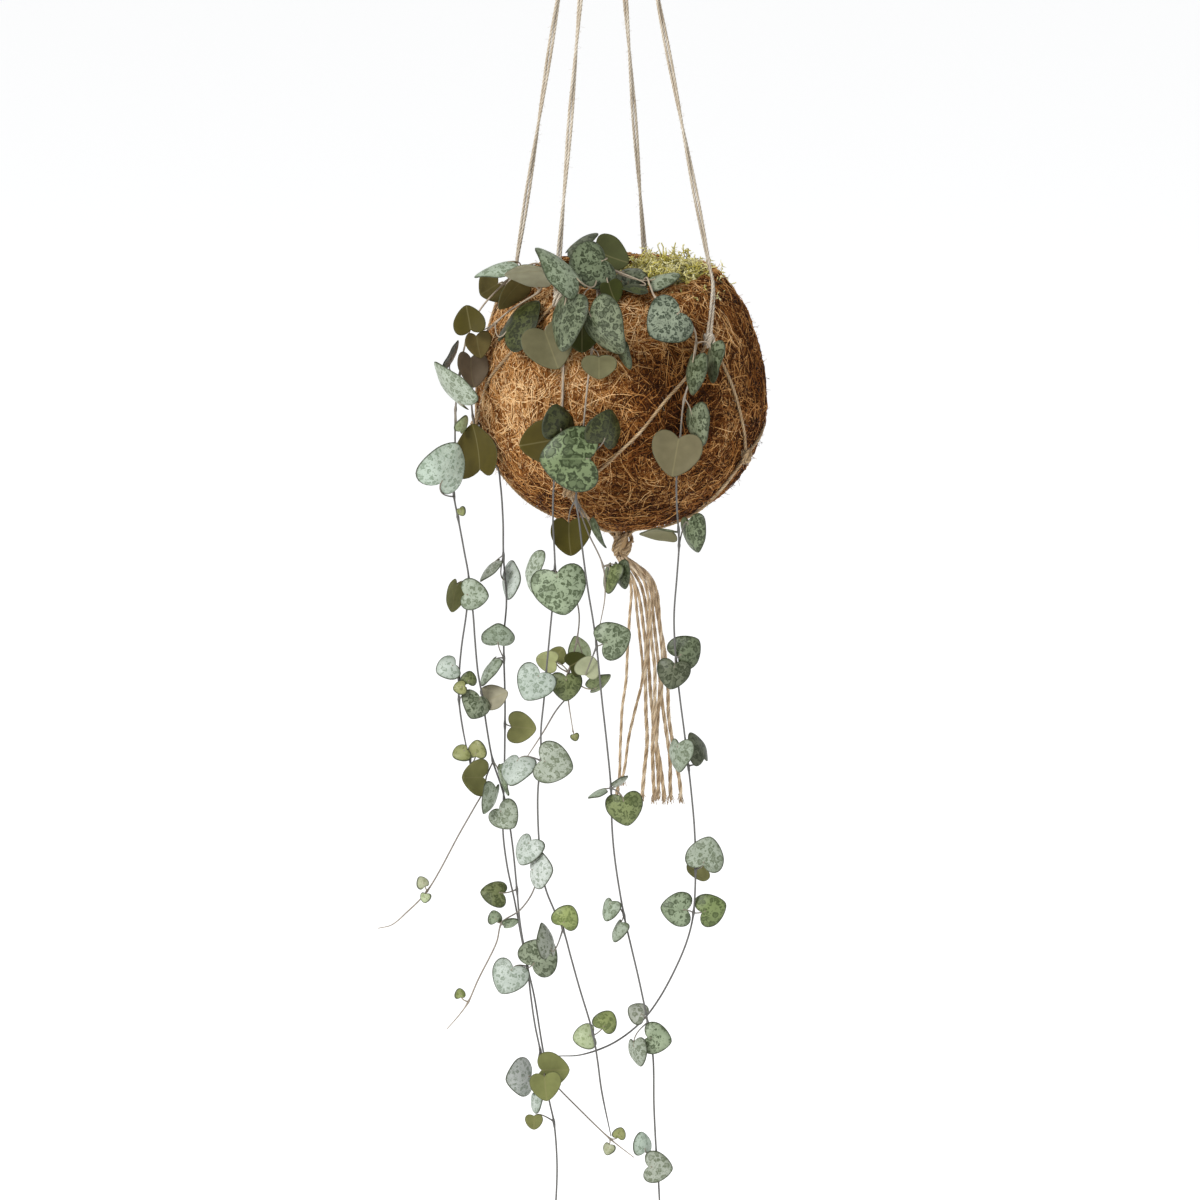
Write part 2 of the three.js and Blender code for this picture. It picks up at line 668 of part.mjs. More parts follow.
function mossCushion() {
  const tufts = Array.from({ length: MOSS.tufts }, (_, index) => mossTuft(index));
  return fuse([mossMound(), ...tufts]);
}

// ---------------------------------------------------------------- hanger

const KNOT_LIFT = SHOULDER_KNOT.radius + GAP;

const KNOTS = {
  top_knot: { centre: new THREE.Vector3(0, 0, TOP_KNOT.z), ...TOP_KNOT },
  shoulder_knot_1: { centre: roundBall(175, 44, KNOT_LIFT), ...SHOULDER_KNOT },
  shoulder_knot_2: { centre: onBall(-18.4, 218, KNOT_LIFT), ...SHOULDER_KNOT },
  shoulder_knot_3: { centre: roundBall(77, 42, KNOT_LIFT), ...SHOULDER_KNOT },
  shoulder_knot_4: { centre: onBall(42, 234, KNOT_LIFT), ...SHOULDER_KNOT },
  lower_knot_left: { centre: roundBall(187, -10, KNOT_LIFT), ...LOWER_KNOT },
  lower_knot_front: { centre: onBall(-14.4, 294, KNOT_LIFT), ...LOWER_KNOT },
  lower_knot_right: { centre: onBall(56.8, 280.5, KNOT_LIFT), ...LOWER_KNOT },
  lower_knot_back: { centre: roundBall(125, -12, KNOT_LIFT), ...LOWER_KNOT },
  bottom_knot: { centre: seen(BOTTOM_KNOT.across, BOTTOM_KNOT.drop, 0), ...BOTTOM_KNOT },
};

// A tube from knot to knot, by way of the points between.
function cord(from, to, between, radius, step) {
  const start = knotEdge(KNOTS[from], between[0]);
  const end = knotEdge(KNOTS[to], between.at(-1));
  return tube(smooth([start, ...between, end]), radius, 8, step);
}

// Where each hanger cord bends over the rim: angles round the ball.
const RIM_ANGLES = [175, 233, 77, -33];
const RIM_BEND = 50; // height of the bend above the widest level

function hangerCord(index) {
  const lift = DOUBLED_TWINE + GAP;
  const bend = roundBall(RIM_ANGLES[index], RIM_BEND, lift);
  const away = new THREE.Vector3(bend.x, bend.y, 0).setLength(CORD_PARTING.ring);
  const start = away.setZ(TOP_KNOT.z - TOP_KNOT.height / 2);
  const straight = [0, 0.25, 0.5, 0.75, 0.96].map((share) => start.clone().lerp(bend, share));
  const end = knotEdge(KNOTS[`shoulder_knot_${index + 1}`], bend);
  return tube(smooth([...straight, bend, end]), DOUBLED_TWINE, 8, 18);
}

const front = (across, drop) => onBall(across, drop, TWINE + 2 * GAP);
const round = (angle, height) => roundBall(angle, height, TWINE + 2 * GAP);

// Each strand of the net: the shoulder knot that it leaves, the lower knot that it reaches, and
// the hand-laid points between them.
const NET_STRANDS = [
  ['shoulder_knot_1', 'lower_knot_left', [round(176, 30), round(180, 10)]],
  ['shoulder_knot_1', 'lower_knot_back', [round(165, 30), round(150, 12), round(136, -2)]],
  ['shoulder_knot_2', 'lower_knot_left', [front(-24, 224), front(-30.4, 231), front(-39, 241),
    front(-46, 250), round(194, 0)]],
  ['shoulder_knot_2', 'lower_knot_front', [front(-17.4, 226), front(-16.8, 240), front(-16.6, 254),
    front(-17.4, 268), front(-17, 282)]],
  ['shoulder_knot_3', 'lower_knot_back', [round(82, 26), round(95, 10), round(111, -3)]],
  ['shoulder_knot_3', 'lower_knot_right', [round(64, 28), round(42, 13), round(18, 0),
    round(-8, -11)]],
  ['shoulder_knot_4', 'lower_knot_front', [front(34.4, 247), front(24, 259), front(14.4, 271),
    front(6, 279), front(-1.6, 286)]],
  ['shoulder_knot_4', 'lower_knot_right', [front(46.6, 241.8), front(51.5, 253), front(54.4, 263),
    front(56.2, 272)]],
];

// From a lower knot under the ball to the bottom knot.
function bottomCord(name) {
  const from = KNOTS[name].centre;
  const angle = THREE.MathUtils.radToDeg(Math.atan2(from.y, from.x - BALL.x));
  const start = Math.asin((BALL.z - from.z) / (BALL.lower + KNOT_LIFT));
  const points = [0.25, 0.5, 0.75].map((share) => {
    const turn = start + share * (Math.PI / 2 - start);
    return roundBall(angle, -BALL.lower * Math.sin(turn), DOUBLED_TWINE + GAP);
  });
  const pole = new THREE.Vector3(BALL.x, 0, BALL.z - BALL.lower - DOUBLED_TWINE - GAP);
  const nearPole = points.at(-1).clone().lerp(pole, 0.7).setZ(pole.z);
  return cord(name, 'bottom_knot', [...points, nearPole], DOUBLED_TWINE, 10);
}

// The tassel's strands: the angle at which each leaves the bottom knot, and the places, as
// seen, down to its loose end.
const TASSEL = [
  { turn: 180, hang: [[10.2, 331, -1], [11, 340, -1.4], [9.2, 359, -2], [6.8, 394, -3], [5, 416, -4]] },
  { turn: 135, hang: [[11.6, 332, 2.4], [14.4, 352, 2.6], [14.8, 371, 2.2], [10.4, 392, 1.4], [6.6, 411, 1]] },
  { turn: 225, hang: [[13, 332, -3.6], [16, 354, -4.2], [17, 378, -4], [16.6, 398, -4], [15.6, 417, -4]] },
  { turn: 90, hang: [[14.4, 331, 4.4], [17.6, 354, 5], [18.8, 378, 5], [19.6, 398, 5.4], [20.4, 418, 6]] },
  { turn: 270,
    hang: [[15.8, 331, -5.6], [19.4, 354, -6.8], [20.2, 378, -6.6], [21.6, 398, -6], [24, 418, -6]] },
  { turn: 0, hang: [[17.2, 331, 0.6], [21, 354, 0.8], [22, 378, 1], [21.2, 398, 0.6], [21.4, 417, 0]] },
  { turn: 315,
    hang: [[18.4, 330, -2.8], [22.4, 352, -3], [23.6, 378, -2.8], [25.6, 398, -2.6], [27.2, 418, -2]] },
  { turn: 45, hang: [[19, 330, 3.6], [23.6, 354, 4.4], [25.6, 378, 4.6], [28, 398, 4], [30.8, 418, 4]] },
];

function tasselStrand({ turn, hang }) {
  const { centre, height } = KNOTS.bottom_knot;
  const angle = THREE.MathUtils.degToRad(turn);
  const x = centre.x + TASSEL_RING * Math.cos(angle);
  const y = centre.y + TASSEL_RING * Math.sin(angle);
  const start = new THREE.Vector3(x, y, centre.z - height / 2);
  return tube(smooth([start, ...hang.map((place) => seen(...place))]), TWINE, 8, 12);
}

function hangingLoop() {
  const side = LOOP.width / 2;
  const crown = LOOP.twine; // the twine's middle lies above the hook by its own radius
  const half = [[side * 0.7, crown - 2.6], [side, -LOOP.height * 0.4], [side * 0.62, 2 - LOOP.height]];
  const foot = [LOOP.twine + GAP, TOP_KNOT.z + TOP_KNOT.height / 2 + GAP];
  const right = [...half, foot].map(([x, z]) => new THREE.Vector3(x, 0, z));
  const left = right.map(({ x, z }) => new THREE.Vector3(-x, 0, z)).reverse();
  const points = [...left, new THREE.Vector3(0, 0, crown), ...right];
  return tube(smooth(points), LOOP.twine, 8, 6);
}

// ---------------------------------------------------------------- leaves and stems

// The blade's surface: a heart folded along its midrib, whose edges and tip bend down.
function bladePoint(frame, width, across, along) {
  const past = along - BLADE.middle;
  const bend = -BLADE.fold * Math.abs(2 * across) ** 1.4 - BLADE.droop * 4 * past ** 2;
  return frame.base
    .clone()
    .addScaledVector(frame.axis, along * width)
    .addScaledVector(frame.side, across * width)
    .addScaledVector(frame.normal, bend * width);
}

function blade(frame, width) {
  const half = width < YOUNG ? YOUNG_HEART : HEART;
  const otherHalf = half.map(([across, along]) => [-across, along]).reverse();
  const outline = [[0, 0], ...half, [0, HEART_TIP], ...otherHalf];
  const under = [...outline, [0, HEART_MIDDLE]].map((spot) => bladePoint(frame, width, ...spot));
  const thick = frame.normal.clone().multiplyScalar(BLADE.thickness);
  const upper = under.map((point) => point.clone().add(thick));
  const middle = outline.length;
  const lift = under.length;
  const triangles = outline.flatMap((_, index) => {
    const next = (index + 1) % outline.length;
    const lid = [index + lift, next + lift, middle + lift];
    const floor = [next, index, middle];
    return [lid, floor, [index, next + lift, index + lift], [index, next, next + lift]];
  });
  return solidOf([...under, ...upper], triangles);
}

function leafFrame([across, drop, depth, width, clock, lean, roll]) {
  const angle = THREE.MathUtils.degToRad(clock);
  const tilt = THREE.MathUtils.degToRad(lean);
  const flat = SIGHT_RIGHT.clone().multiplyScalar(Math.cos(angle));
  flat.addScaledVector(SIGHT_UP, Math.sin(angle));
  const axis = flat.multiplyScalar(Math.cos(tilt)).addScaledVector(SIGHT_NEAR, Math.sin(tilt));
  const normal = SIGHT_NEAR.clone().addScaledVector(axis, -SIGHT_NEAR.dot(axis)).normalize();
  normal.applyAxisAngle(axis, THREE.MathUtils.degToRad(roll));
  const side = new THREE.Vector3().crossVectors(axis, normal);
  const base = placed([across, drop, depth], LEAF_LIFT).addScaledVector(axis, -BLADE.middle * width);
  return { base, axis, normal, side };
}

// The petiole leaves the stem, swings round and runs into the notch along the midrib.
function petiole(from, frame, width) {
  const root = bladePoint(frame, width, 0, PETIOLE_SUNK / width);
  root.addScaledVector(frame.normal, BLADE.thickness / 2);
  const reach = from.distanceTo(frame.base);
  const bend = frame.base.clone().addScaledVector(frame.axis, -0.35 * reach);
  const path = new THREE.QuadraticBezierCurve3(from, bend, root);
  return tube(path, PETIOLE, 3, Math.max(7, reach / 1.6));
}

function leafAndPetiole(from, leaf) {
  const frame = leafFrame(leaf);
  const width = leaf[3];
  return [blade(frame, width), petiole(from, frame, width)];
}

// The straight foot of a rooted stem, in its hole in the soil.
function stemFoot([x, y]) {
  const soil = BALL.z + SOIL_TOP;
  return [soil - ROOT_DEPTH, soil + STEM_RISE].map((z) => new THREE.Vector3(x, y, z));
}

// The point nearest to a spot on the straight lengths that the stems' tubes are made of.
function nearestOn(stems, spot) {
  const line = new THREE.Line3();
  const candidates = stems.flatMap((bends) => bends.slice(1).map((bend, index) => {
    line.set(bends[index], bend);
    return line.closestPointToPoint(spot, true, new THREE.Vector3());
  }));
  const closer = (left, right) => (
    right.distanceToSquared(spot) < left.distanceToSquared(spot) ? right : left
  );
  return candidates.reduce(closer);
}

function vine(stems) {
  const pieces = [];
  const bends = [];
  stems.forEach(({ root, runner, places }) => {
    const points = places.map(([spot]) => placed(spot, STEM_LIFT));
    if (root) {
      const [low, top] = stemFoot(root);
      pieces.push(tube(new THREE.LineCurve3(low, top), STEM, 4, ROOT_DEPTH + STEM_RISE));
      points.unshift(low.lerp(top, 0.9));
    } else {
      points[0] = nearestOn(bends, points[0]);
    }
    const path = smooth(points);
    const steps = stepsAlong(path, STEM_STEP);
    pieces.push(tube(path, runner ? RUNNER : STEM, 4, STEM_STEP));
    bends.push(path.getSpacedPoints(steps));
    places.forEach(([spot, ...grown]) => {
      const from = nearestOn([bends.at(-1)], placed(spot, STEM_LIFT));
      pieces.push(...grown.flatMap((leaf) => leafAndPetiole(from, leaf)));
    });
  });
  return fuse(pieces);
}

// ---------------------------------------------------------------- the part

function finish(color, roughness) {
  return new THREE.MeshStandardMaterial({ color, roughness, metalness: 0 });
}

function assemble() {
  const part = new THREE.Group();
  const add = (name, solid, color, roughness) => {
    const mesh = new THREE.Mesh(toGeometry(solid), finish(color, roughness));
    mesh.name = name;
    part.add(mesh);
  };
  add('hanging_loop', hangingLoop(), COLOURS.twine, 0.9);
  Object.entries(KNOTS).forEach(([name, size]) => add(name, knot(size), COLOURS.twine, 0.9));
  RIM_ANGLES.forEach((_, index) => {
    add(`hanger_cord_${index + 1}`, hangerCord(index), COLOURS.twine, 0.9);
  });
  NET_STRANDS.forEach(([from, to, between], index) => {
    add(`net_strand_${index + 1}`, cord(from, to, between, TWINE, 9), COLOURS.twine, 0.9);
  });
  ['left', 'front', 'right', 'back'].forEach((side) => {
    add(`bottom_cord_${side}`, bottomCord(`lower_knot_${side}`), COLOURS.twine, 0.9);
  });
  TASSEL.forEach((strand, index) => {
    add(`tassel_strand_${index + 1}`, tasselStrand(strand), COLOURS.twine, 0.9);
  });
  const roots = Object.values(VINES).flat().map(({ root }) => root).filter(Boolean);
  add('coir_wrap', coirWrap(), COLOURS.coir, 1);
  add('soil_core', soilCore(roots), COLOURS.soil, 1);
  add('moss_cushion', mossCushion(), COLOURS.moss, 1);
  Object.entries(VINES).forEach(([name, stems]) => {
    const colour = name === 'crown_leaves' ? COLOURS.crownLeaf : COLOURS.leaf;
    add(name, vine(stems), colour, 0.55);
  });
  return part;
}

export default assemble();
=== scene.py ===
"""Looks of a hanging kokedama: a coir-wrapped ball with a string-of-hearts plant, in a
knotted hanger of jute twine with a tassel.

Lengths are in millimetres until a mesh is made, and a finished mesh is in metres. +X is to
the right, +Y away from the viewer and +Z up, from the point where the loop bears on its hook.
"""

import sys

import logging
import math
from collections.abc import Iterable, Sequence
from dataclasses import dataclass, field
from enum import Enum
from typing import Any

import bmesh
import bpy
import numpy as np
from bpy.types import ID, Material, Node, NodeTree, Object
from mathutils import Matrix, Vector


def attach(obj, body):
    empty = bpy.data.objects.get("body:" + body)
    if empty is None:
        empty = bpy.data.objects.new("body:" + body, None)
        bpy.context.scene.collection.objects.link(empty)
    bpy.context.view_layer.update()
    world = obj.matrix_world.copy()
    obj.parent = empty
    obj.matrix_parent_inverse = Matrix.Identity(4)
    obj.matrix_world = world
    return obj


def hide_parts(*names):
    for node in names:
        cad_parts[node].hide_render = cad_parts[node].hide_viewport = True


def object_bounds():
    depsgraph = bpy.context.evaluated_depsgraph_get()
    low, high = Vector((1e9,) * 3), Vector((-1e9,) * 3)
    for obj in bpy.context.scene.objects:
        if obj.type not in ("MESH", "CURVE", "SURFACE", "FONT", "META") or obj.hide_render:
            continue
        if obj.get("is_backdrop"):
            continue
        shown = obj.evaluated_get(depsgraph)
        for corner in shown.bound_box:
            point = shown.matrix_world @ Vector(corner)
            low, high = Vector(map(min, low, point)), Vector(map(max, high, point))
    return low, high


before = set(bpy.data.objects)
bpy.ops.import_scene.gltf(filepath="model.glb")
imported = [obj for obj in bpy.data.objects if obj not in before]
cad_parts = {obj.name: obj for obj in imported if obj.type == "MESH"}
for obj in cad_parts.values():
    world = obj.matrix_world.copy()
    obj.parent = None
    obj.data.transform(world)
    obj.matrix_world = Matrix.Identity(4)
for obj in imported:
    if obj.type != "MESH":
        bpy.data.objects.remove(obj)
CAD_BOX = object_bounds()
LOG = logging.getLogger("kokedama")
MM = 0.001
BODY = "root"
SENSOR = 36.0  # width of the camera's sensor
NOISE_SPAN = 4.0  # noise goes about a quarter to each side of its middle
SPARE_WAY = (0.31, 0.77, 0.56)  # a way that no path runs along


# ------------------------------------------------------------------ setting out


@dataclass(frozen=True)
class Sight:
    """The eye that the object is set out for, a little above it, and its camera."""

    pitch: float = math.radians(10)
    distance: float = 3000.0
    across: float = -1.6
    drop: float = 338.0
    parting: float = -36.0  # the level of the cords' parting, from which drops are measured
    view: float = 480.0  # width of what the eye sees, at the object

    @property
    def up(self) -> np.ndarray:
        """The way that is up in the view."""
        return np.array((0.0, math.sin(self.pitch), math.cos(self.pitch)))

    @property
    def near(self) -> np.ndarray:
        """The way towards the eye."""
        return np.array((0.0, -math.cos(self.pitch), math.sin(self.pitch)))

    @property
    def level(self) -> float:
        """The height of the point that the eye looks at."""
        return self.parting - self.height_at(self.drop, 0)

    def height_at(self, rise: float, depth: float) -> float:
        """How far above the point looked at a point lies.

        Args:
            rise: How far above that point it is seen.
            depth: How far behind the hook it lies.

        Returns:
            The difference in height.
        """
        cos, sin = math.cos(self.pitch), math.sin(self.pitch)
        flat = rise * (self.distance + depth * cos) - self.distance * depth * sin
        return flat / (self.distance * cos + rise * sin)

    def seen(self, across: float, drop: float, depth: float) -> np.ndarray:
        """Finds a point from where it is seen.

        Args:
            across: How far right of the hook it is seen.
            drop: How far below the cords' parting it is seen.
            depth: How far behind the hook it lies.

        Returns:
            The point.
        """
        height = self.height_at(self.drop - drop, depth)
        away = self.distance + depth * math.cos(self.pitch) - height * math.sin(self.pitch)
        x = self.across + (across - self.across) * (away / self.distance)
        return np.array((x, depth, self.level + height))

    def camera(self) -> None:
        """Stands the camera where the eye is."""
        lens = bpy.data.cameras.new("camera")
        lens.sensor_width = SENSOR
        lens.lens = SENSOR * self.distance / self.view
        lens.clip_end = 20 * self.distance * MM
        camera = add_object("camera", lens)
        target = np.array((self.across, 0.0, self.level))
        camera.location = (target + self.distance * self.near) * MM
        camera.rotation_euler = (math.pi / 2 - self.pitch, 0.0, 0.0)
        bpy.context.scene.camera = camera


@dataclass(frozen=True)
class Ball:
    """The ball's outer form: a squat lower half, and a taller upper half cut off at a rim."""

    x: float = 7.0
    z: float = -292.0  # its widest level
    radius: float = 57.0
    lower: float = 51.0
    upper: float = 73.0
    rim: float = 54.0  # where the coir ends, above the widest level
    rim_dip: float = 6.0  # how far the rim sinks at the very front
    dip_reach: float = 45.0  # how far in front the sinking is full, and behind it ends
    wall: float = 4.0  # thickness of the coir
    soil_top: float = 45.0

    def reach(self, height: float) -> float:
        """The height of the half that a level is in."""
        return self.lower if height < 0 else self.upper

    def outside(self, point: np.ndarray, lift: float) -> float:
        """Below 0 inside the ball grown by a lift, and above 0 outside it."""
        height = point[2] - self.z
        across = math.hypot(point[0] - self.x, point[1]) / (self.radius + lift)
        return across**2 + (height / (self.reach(height) + lift)) ** 2 - 1

    def front(self, across: float, drop: float, lift: float) -> np.ndarray:
        """Finds the point on the near side of the ball that is seen at a place.

        Args:
            across: How far right of the hook it is seen.
            drop: How far below the cords' parting it is seen.
            lift: How far off the coir it lies.

        Returns:
            The point.
        """
        near, far = -2 * self.radius, 0.0
        for _ in range(40):
            middle = (near + far) / 2
            if self.outside(SIGHT.seen(across, drop, middle), lift) > 0:
                near = middle
            else:
                far = middle
        return SIGHT.seen(across, drop, far)

    def round(self, angle: float, height: float, lift: float) -> np.ndarray:
        """Finds a point on the ball from its angle and height.

        Args:
            angle: The angle from the right, in degrees; 90 is behind.
            height: Its height above the widest level.
            lift: How far off the coir it lies.

        Returns:
            The point.
        """
        turn = math.radians(angle)
        reach = self.reach(height) + lift
        radius = (self.radius + lift) * math.sqrt(1 - (height / reach) ** 2)
        x = self.x + radius * math.cos(turn)
        return np.array((x, radius * math.sin(turn), self.z + height))

    def dip(self, y: np.ndarray, height: np.ndarray) -> np.ndarray:
        """How far the wrap and what fills it sink, towards the front and near the rim."""
        front = np.clip((1 - y / self.dip_reach) / 2, 0, 1)
        return self.rim_dip * front * np.maximum(0, 2 * height / self.rim - 1) ** 2

    def outline(self, inset: float, top: float, count: int) -> np.ndarray:
        """Draws half of the ball's outline.

        Args:
            inset: How far inside the coir's outer face it lies.
            top: The height at which it ends.
            count: How many steps it has.

        Returns:
            Rows of radius and height, from the lower pole up.
        """
        turns = np.linspace(-math.pi / 2, math.asin(top / (self.upper - inset)), count + 1)
        reach = np.where(turns < 0, self.lower, self.upper) - inset
        radius = (self.radius - inset) * np.cos(turns)
        radius[0] = 0.0
        return np.stack((radius, reach * np.sin(turns)), axis=1)


SIGHT = Sight()
BALL = Ball()
ON_BALL = None


def placed(spot: Sequence[float | None], lift: float) -> np.ndarray:
    """Finds a place of the layout: across, drop and depth, or on the ball with no depth."""
    across, drop, depth = spot
    return BALL.front(across, drop, lift) if depth is None else SIGHT.seen(across, drop, depth)


def smooth(points: Sequence[np.ndarray], step: float) -> np.ndarray:
    """Draws a centripetal curve through points.

    Args:
        points: What it passes through.
        step: About how far apart its own points are.

    Returns:
        Evenly spaced points on the curve.
    """
    given = np.asarray(points, dtype=float)
    padded = np.vstack((2 * given[0] - given[1], given, 2 * given[-1] - given[-2]))
    share = np.linspace(0, 1, 25)[:-1, None]
    fine = []
    for a, b, c, d in zip(padded, padded[1:], padded[2:], padded[3:]):
        before, between, after = (
            max(float(np.sum(gap**2)) ** 0.25, 1e-4) for gap in (b - a, c - b, d - c))
        leave = ((b - a) / before - (c - a) / (before + between) + (c - b) / between) * between
        arrive = ((c - b) / between - (d - b) / (between + after) + (d - c) / after) * between
        square = -3 * b + 3 * c - 2 * leave - arrive
        cube = 2 * b - 2 * c + leave + arrive
        fine.append(b + leave * share + square * share**2 + cube * share**3)
    line = np.vstack((*fine, given[-1:]))
    along = travel(line)
    count = max(2, round(along[-1] / step)) + 1
    even = np.linspace(0, along[-1], count)
    return np.stack([np.interp(even, along, line[:, axis]) for axis in range(3)], axis=1)


def travel(path: np.ndarray) -> np.ndarray:
    """How far along a path each of its points lies."""
    return np.concatenate(((0.0,), np.cumsum(np.linalg.norm(np.diff(path, axis=0), axis=1))))


def frames_along(path: np.ndarray) -> tuple[np.ndarray, np.ndarray]:
    """Carries a cross-section's two ways along a path without spinning it.

    Args:
        path: The points of the path.

    Returns:
        The two ways at each point.
    """
    ways = np.gradient(path, axis=0)
    ways /= np.linalg.norm(ways, axis=1, keepdims=True)
    first = np.cross(ways[0], SPARE_WAY)
    right = np.empty_like(path)
    for index, way in enumerate(ways):
        first = first - way * np.dot(first, way)
        first = first / np.linalg.norm(first)
        right[index] = first
    return right, np.cross(ways, right)


# ------------------------------------------------------------------ meshes


def add_object(name: str, data: ID) -> Object:
    """Puts a mesh, a lens or a lamp into the scene as an object."""
    made = bpy.data.objects.new(name, data)
    bpy.context.scene.collection.objects.link(made)
    return made


def fit(made: Object, node: str | None = None) -> Object:
    """Fixes a piece to the object and reports it.

    Args:
        made: The piece.
        node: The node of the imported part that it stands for, if it stands for one.

    Returns:
        The piece.
    """
    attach(made, BODY)
    if node:
        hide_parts(node)
    LOG.info("%s: %d faces", made.name, len(made.data.polygons))
    return made


@dataclass
class Shape:
    """Collects the points, faces and point attributes of one piece."""

    points: list[np.ndarray] = field(default_factory=list)
    faces: list[tuple[int, ...]] = field(default_factory=list)
    slots: list[int] = field(default_factory=list)
    values: dict[str, list[np.ndarray]] = field(default_factory=dict)
    count: int = 0

    def add(self, points: np.ndarray, faces: Iterable[Sequence[int]], slot: int = 0,
            **values: np.ndarray) -> None:
        """Adds a part.

        Args:
            points: Its points.
            faces: Its faces, as numbers of those points.
            slot: The material slot of its faces.
            values: A row of three numbers for each point, by attribute name.
        """
        rows = [tuple(int(corner) + self.count for corner in face) for face in faces]
        self.faces.extend(rows)
        self.slots.extend([slot] * len(rows))
        self.points.append(points)
        for name in set(self.values) | set(values):
            known = self.values.setdefault(name, [np.zeros((self.count, 3))])
            known.append(np.broadcast_to(values.get(name, np.zeros(3)), points.shape))
        self.count += len(points)

    def build(self, name: str, materials: Sequence[Material], merge: float = 0.0) -> Object:
        """Makes the piece.

        Args:
            name: Its name.
            materials: What its slots hold.
            merge: The distance, in millimetres, within which points become one.

        Returns:
            The piece, in metres.
        """
        mesh = bpy.data.meshes.new(name)
        mesh.from_pydata((np.vstack(self.points) * MM).tolist(), [], self.faces)
        for attribute, rows in self.values.items():
            layer = mesh.attributes.new(attribute, "FLOAT_VECTOR", "POINT")
            layer.data.foreach_set("vector", np.vstack(rows).astype(np.float32).ravel())
        mesh.polygons.foreach_set("material_index", self.slots)
        if merge:
            melt = bmesh.new()
            melt.from_mesh(mesh)
            bmesh.ops.remove_doubles(melt, verts=melt.verts, dist=merge * MM)
            melt.to_mesh(mesh)
            melt.free()
        mesh.shade_smooth()
        for material in materials:
            mesh.materials.append(material)
        return add_object(name, mesh)


def grid_faces(rows: int, columns: int, closed: bool = False) -> list[tuple[int, ...]]:
    """Lists the faces of a grid of points.

    Args:
        rows: How many rows of points it has.
        columns: How many points a row has.
        closed: Whether the last point of a row joins its first.

    Returns:
        The faces.
    """
    spans = columns if closed else columns - 1
    return [
        (row + span, row + (span + 1) % columns, row + columns + (span + 1) % columns,
         row + columns + span)
        for row in range(0, (rows - 1) * columns, columns) for span in range(spans)
    ]


def tube(path: np.ndarray, outline: np.ndarray, radius: np.ndarray | float,
         twist: np.ndarray | float = 0.0) -> tuple[np.ndarray, list[tuple[int, ...]]]:
    """Sweeps an outline along a path and closes its ends.

    Args:
        path: The points of the path.
        outline: The cross-section's points, for a radius of 1.
        radius: The radius, at each point or everywhere.
        twist: The turn of the cross-section, at each point or everywhere.

    Returns:
        The tube's points and faces.
    """
    right, up = frames_along(path)
    size = np.broadcast_to(radius, len(path))[:, None]
    turn = np.broadcast_to(twist, len(path))[:, None]
    x, y = outline[None, :, 0], outline[None, :, 1]
    across = (x * np.cos(turn) - y * np.sin(turn)) * size
    over = (x * np.sin(turn) + y * np.cos(turn)) * size
    points = path[:, None] + across[..., None] * right[:, None] + over[..., None] * up[:, None]
    sides = len(outline)
    faces = grid_faces(len(path), sides, closed=True)
    last = (len(path) - 1) * sides
    faces.append(tuple(reversed(range(sides))))
    faces.append(tuple(range(last, last + sides)))
    return points.reshape(-1, 3), faces


def circle(sides: int) -> np.ndarray:
    """The points of a regular outline of radius 1."""
    turns = np.linspace(0, 2 * math.pi, sides, endpoint=False)
    return np.stack((np.cos(turns), np.sin(turns)), axis=1)


def turned(outline: np.ndarray, segments: int) -> tuple[np.ndarray, list[tuple[int, ...]]]:
    """Turns an outline round the ball's axis, sunk towards the front as the ball is.

    Args:
        outline: Rows of radius and height; a radius of 0 makes a pole.
        segments: How many steps there are round the axis.

    Returns:
        The points and faces, with doubled points at the poles.
    """
    turns = np.linspace(0, 2 * math.pi, segments, endpoint=False)
    x = outline[:, :1] * np.cos(turns)
    y = outline[:, :1] * np.sin(turns)
    height = np.broadcast_to(outline[:, 1:], x.shape)
    z = BALL.z + height - BALL.dip(y, height)
    points = np.stack((BALL.x + x, y, z), axis=-1).reshape(-1, 3)
    return points, grid_faces(len(outline), segments, closed=True)


def ripple(points: np.ndarray, size: float, seed: int) -> np.ndarray:
    """A smooth uneven field between about -1 and 1.

    Args:
        points: Where it is wanted.
        size: About how far apart its swells are.
        seed: Which field it is.

    Returns:
        A number for each point.
    """
    chance = np.random.default_rng(seed)
    total = np.zeros(len(points))
    for _ in range(9):
        way = chance.normal(size=3)
        way *= chance.uniform(0.7, 1.4) * 2 * math.pi / (size * np.linalg.norm(way))
        total += np.sin(points @ way + chance.uniform(0, 2 * math.pi))
    return total / 3


# ------------------------------------------------------------------ nodes


def linear(colour: str) -> tuple[float, float, float, float]:
    """Turns an sRGB hex colour to linear red, green, blue and alpha."""
    parts = [int(colour[start:start + 2], 16) / 255 for start in (1, 3, 5)]
    red, green, blue = (c / 12.92 if c <= 0.04045 else ((c + 0.055) / 1.055) ** 2.4 for c in parts)
    return red, green, blue, 1.0


def rgb(colour: str) -> np.ndarray:
    """Turns an sRGB hex colour to linear red, green and blue."""
    return np.array(linear(colour)[:3])


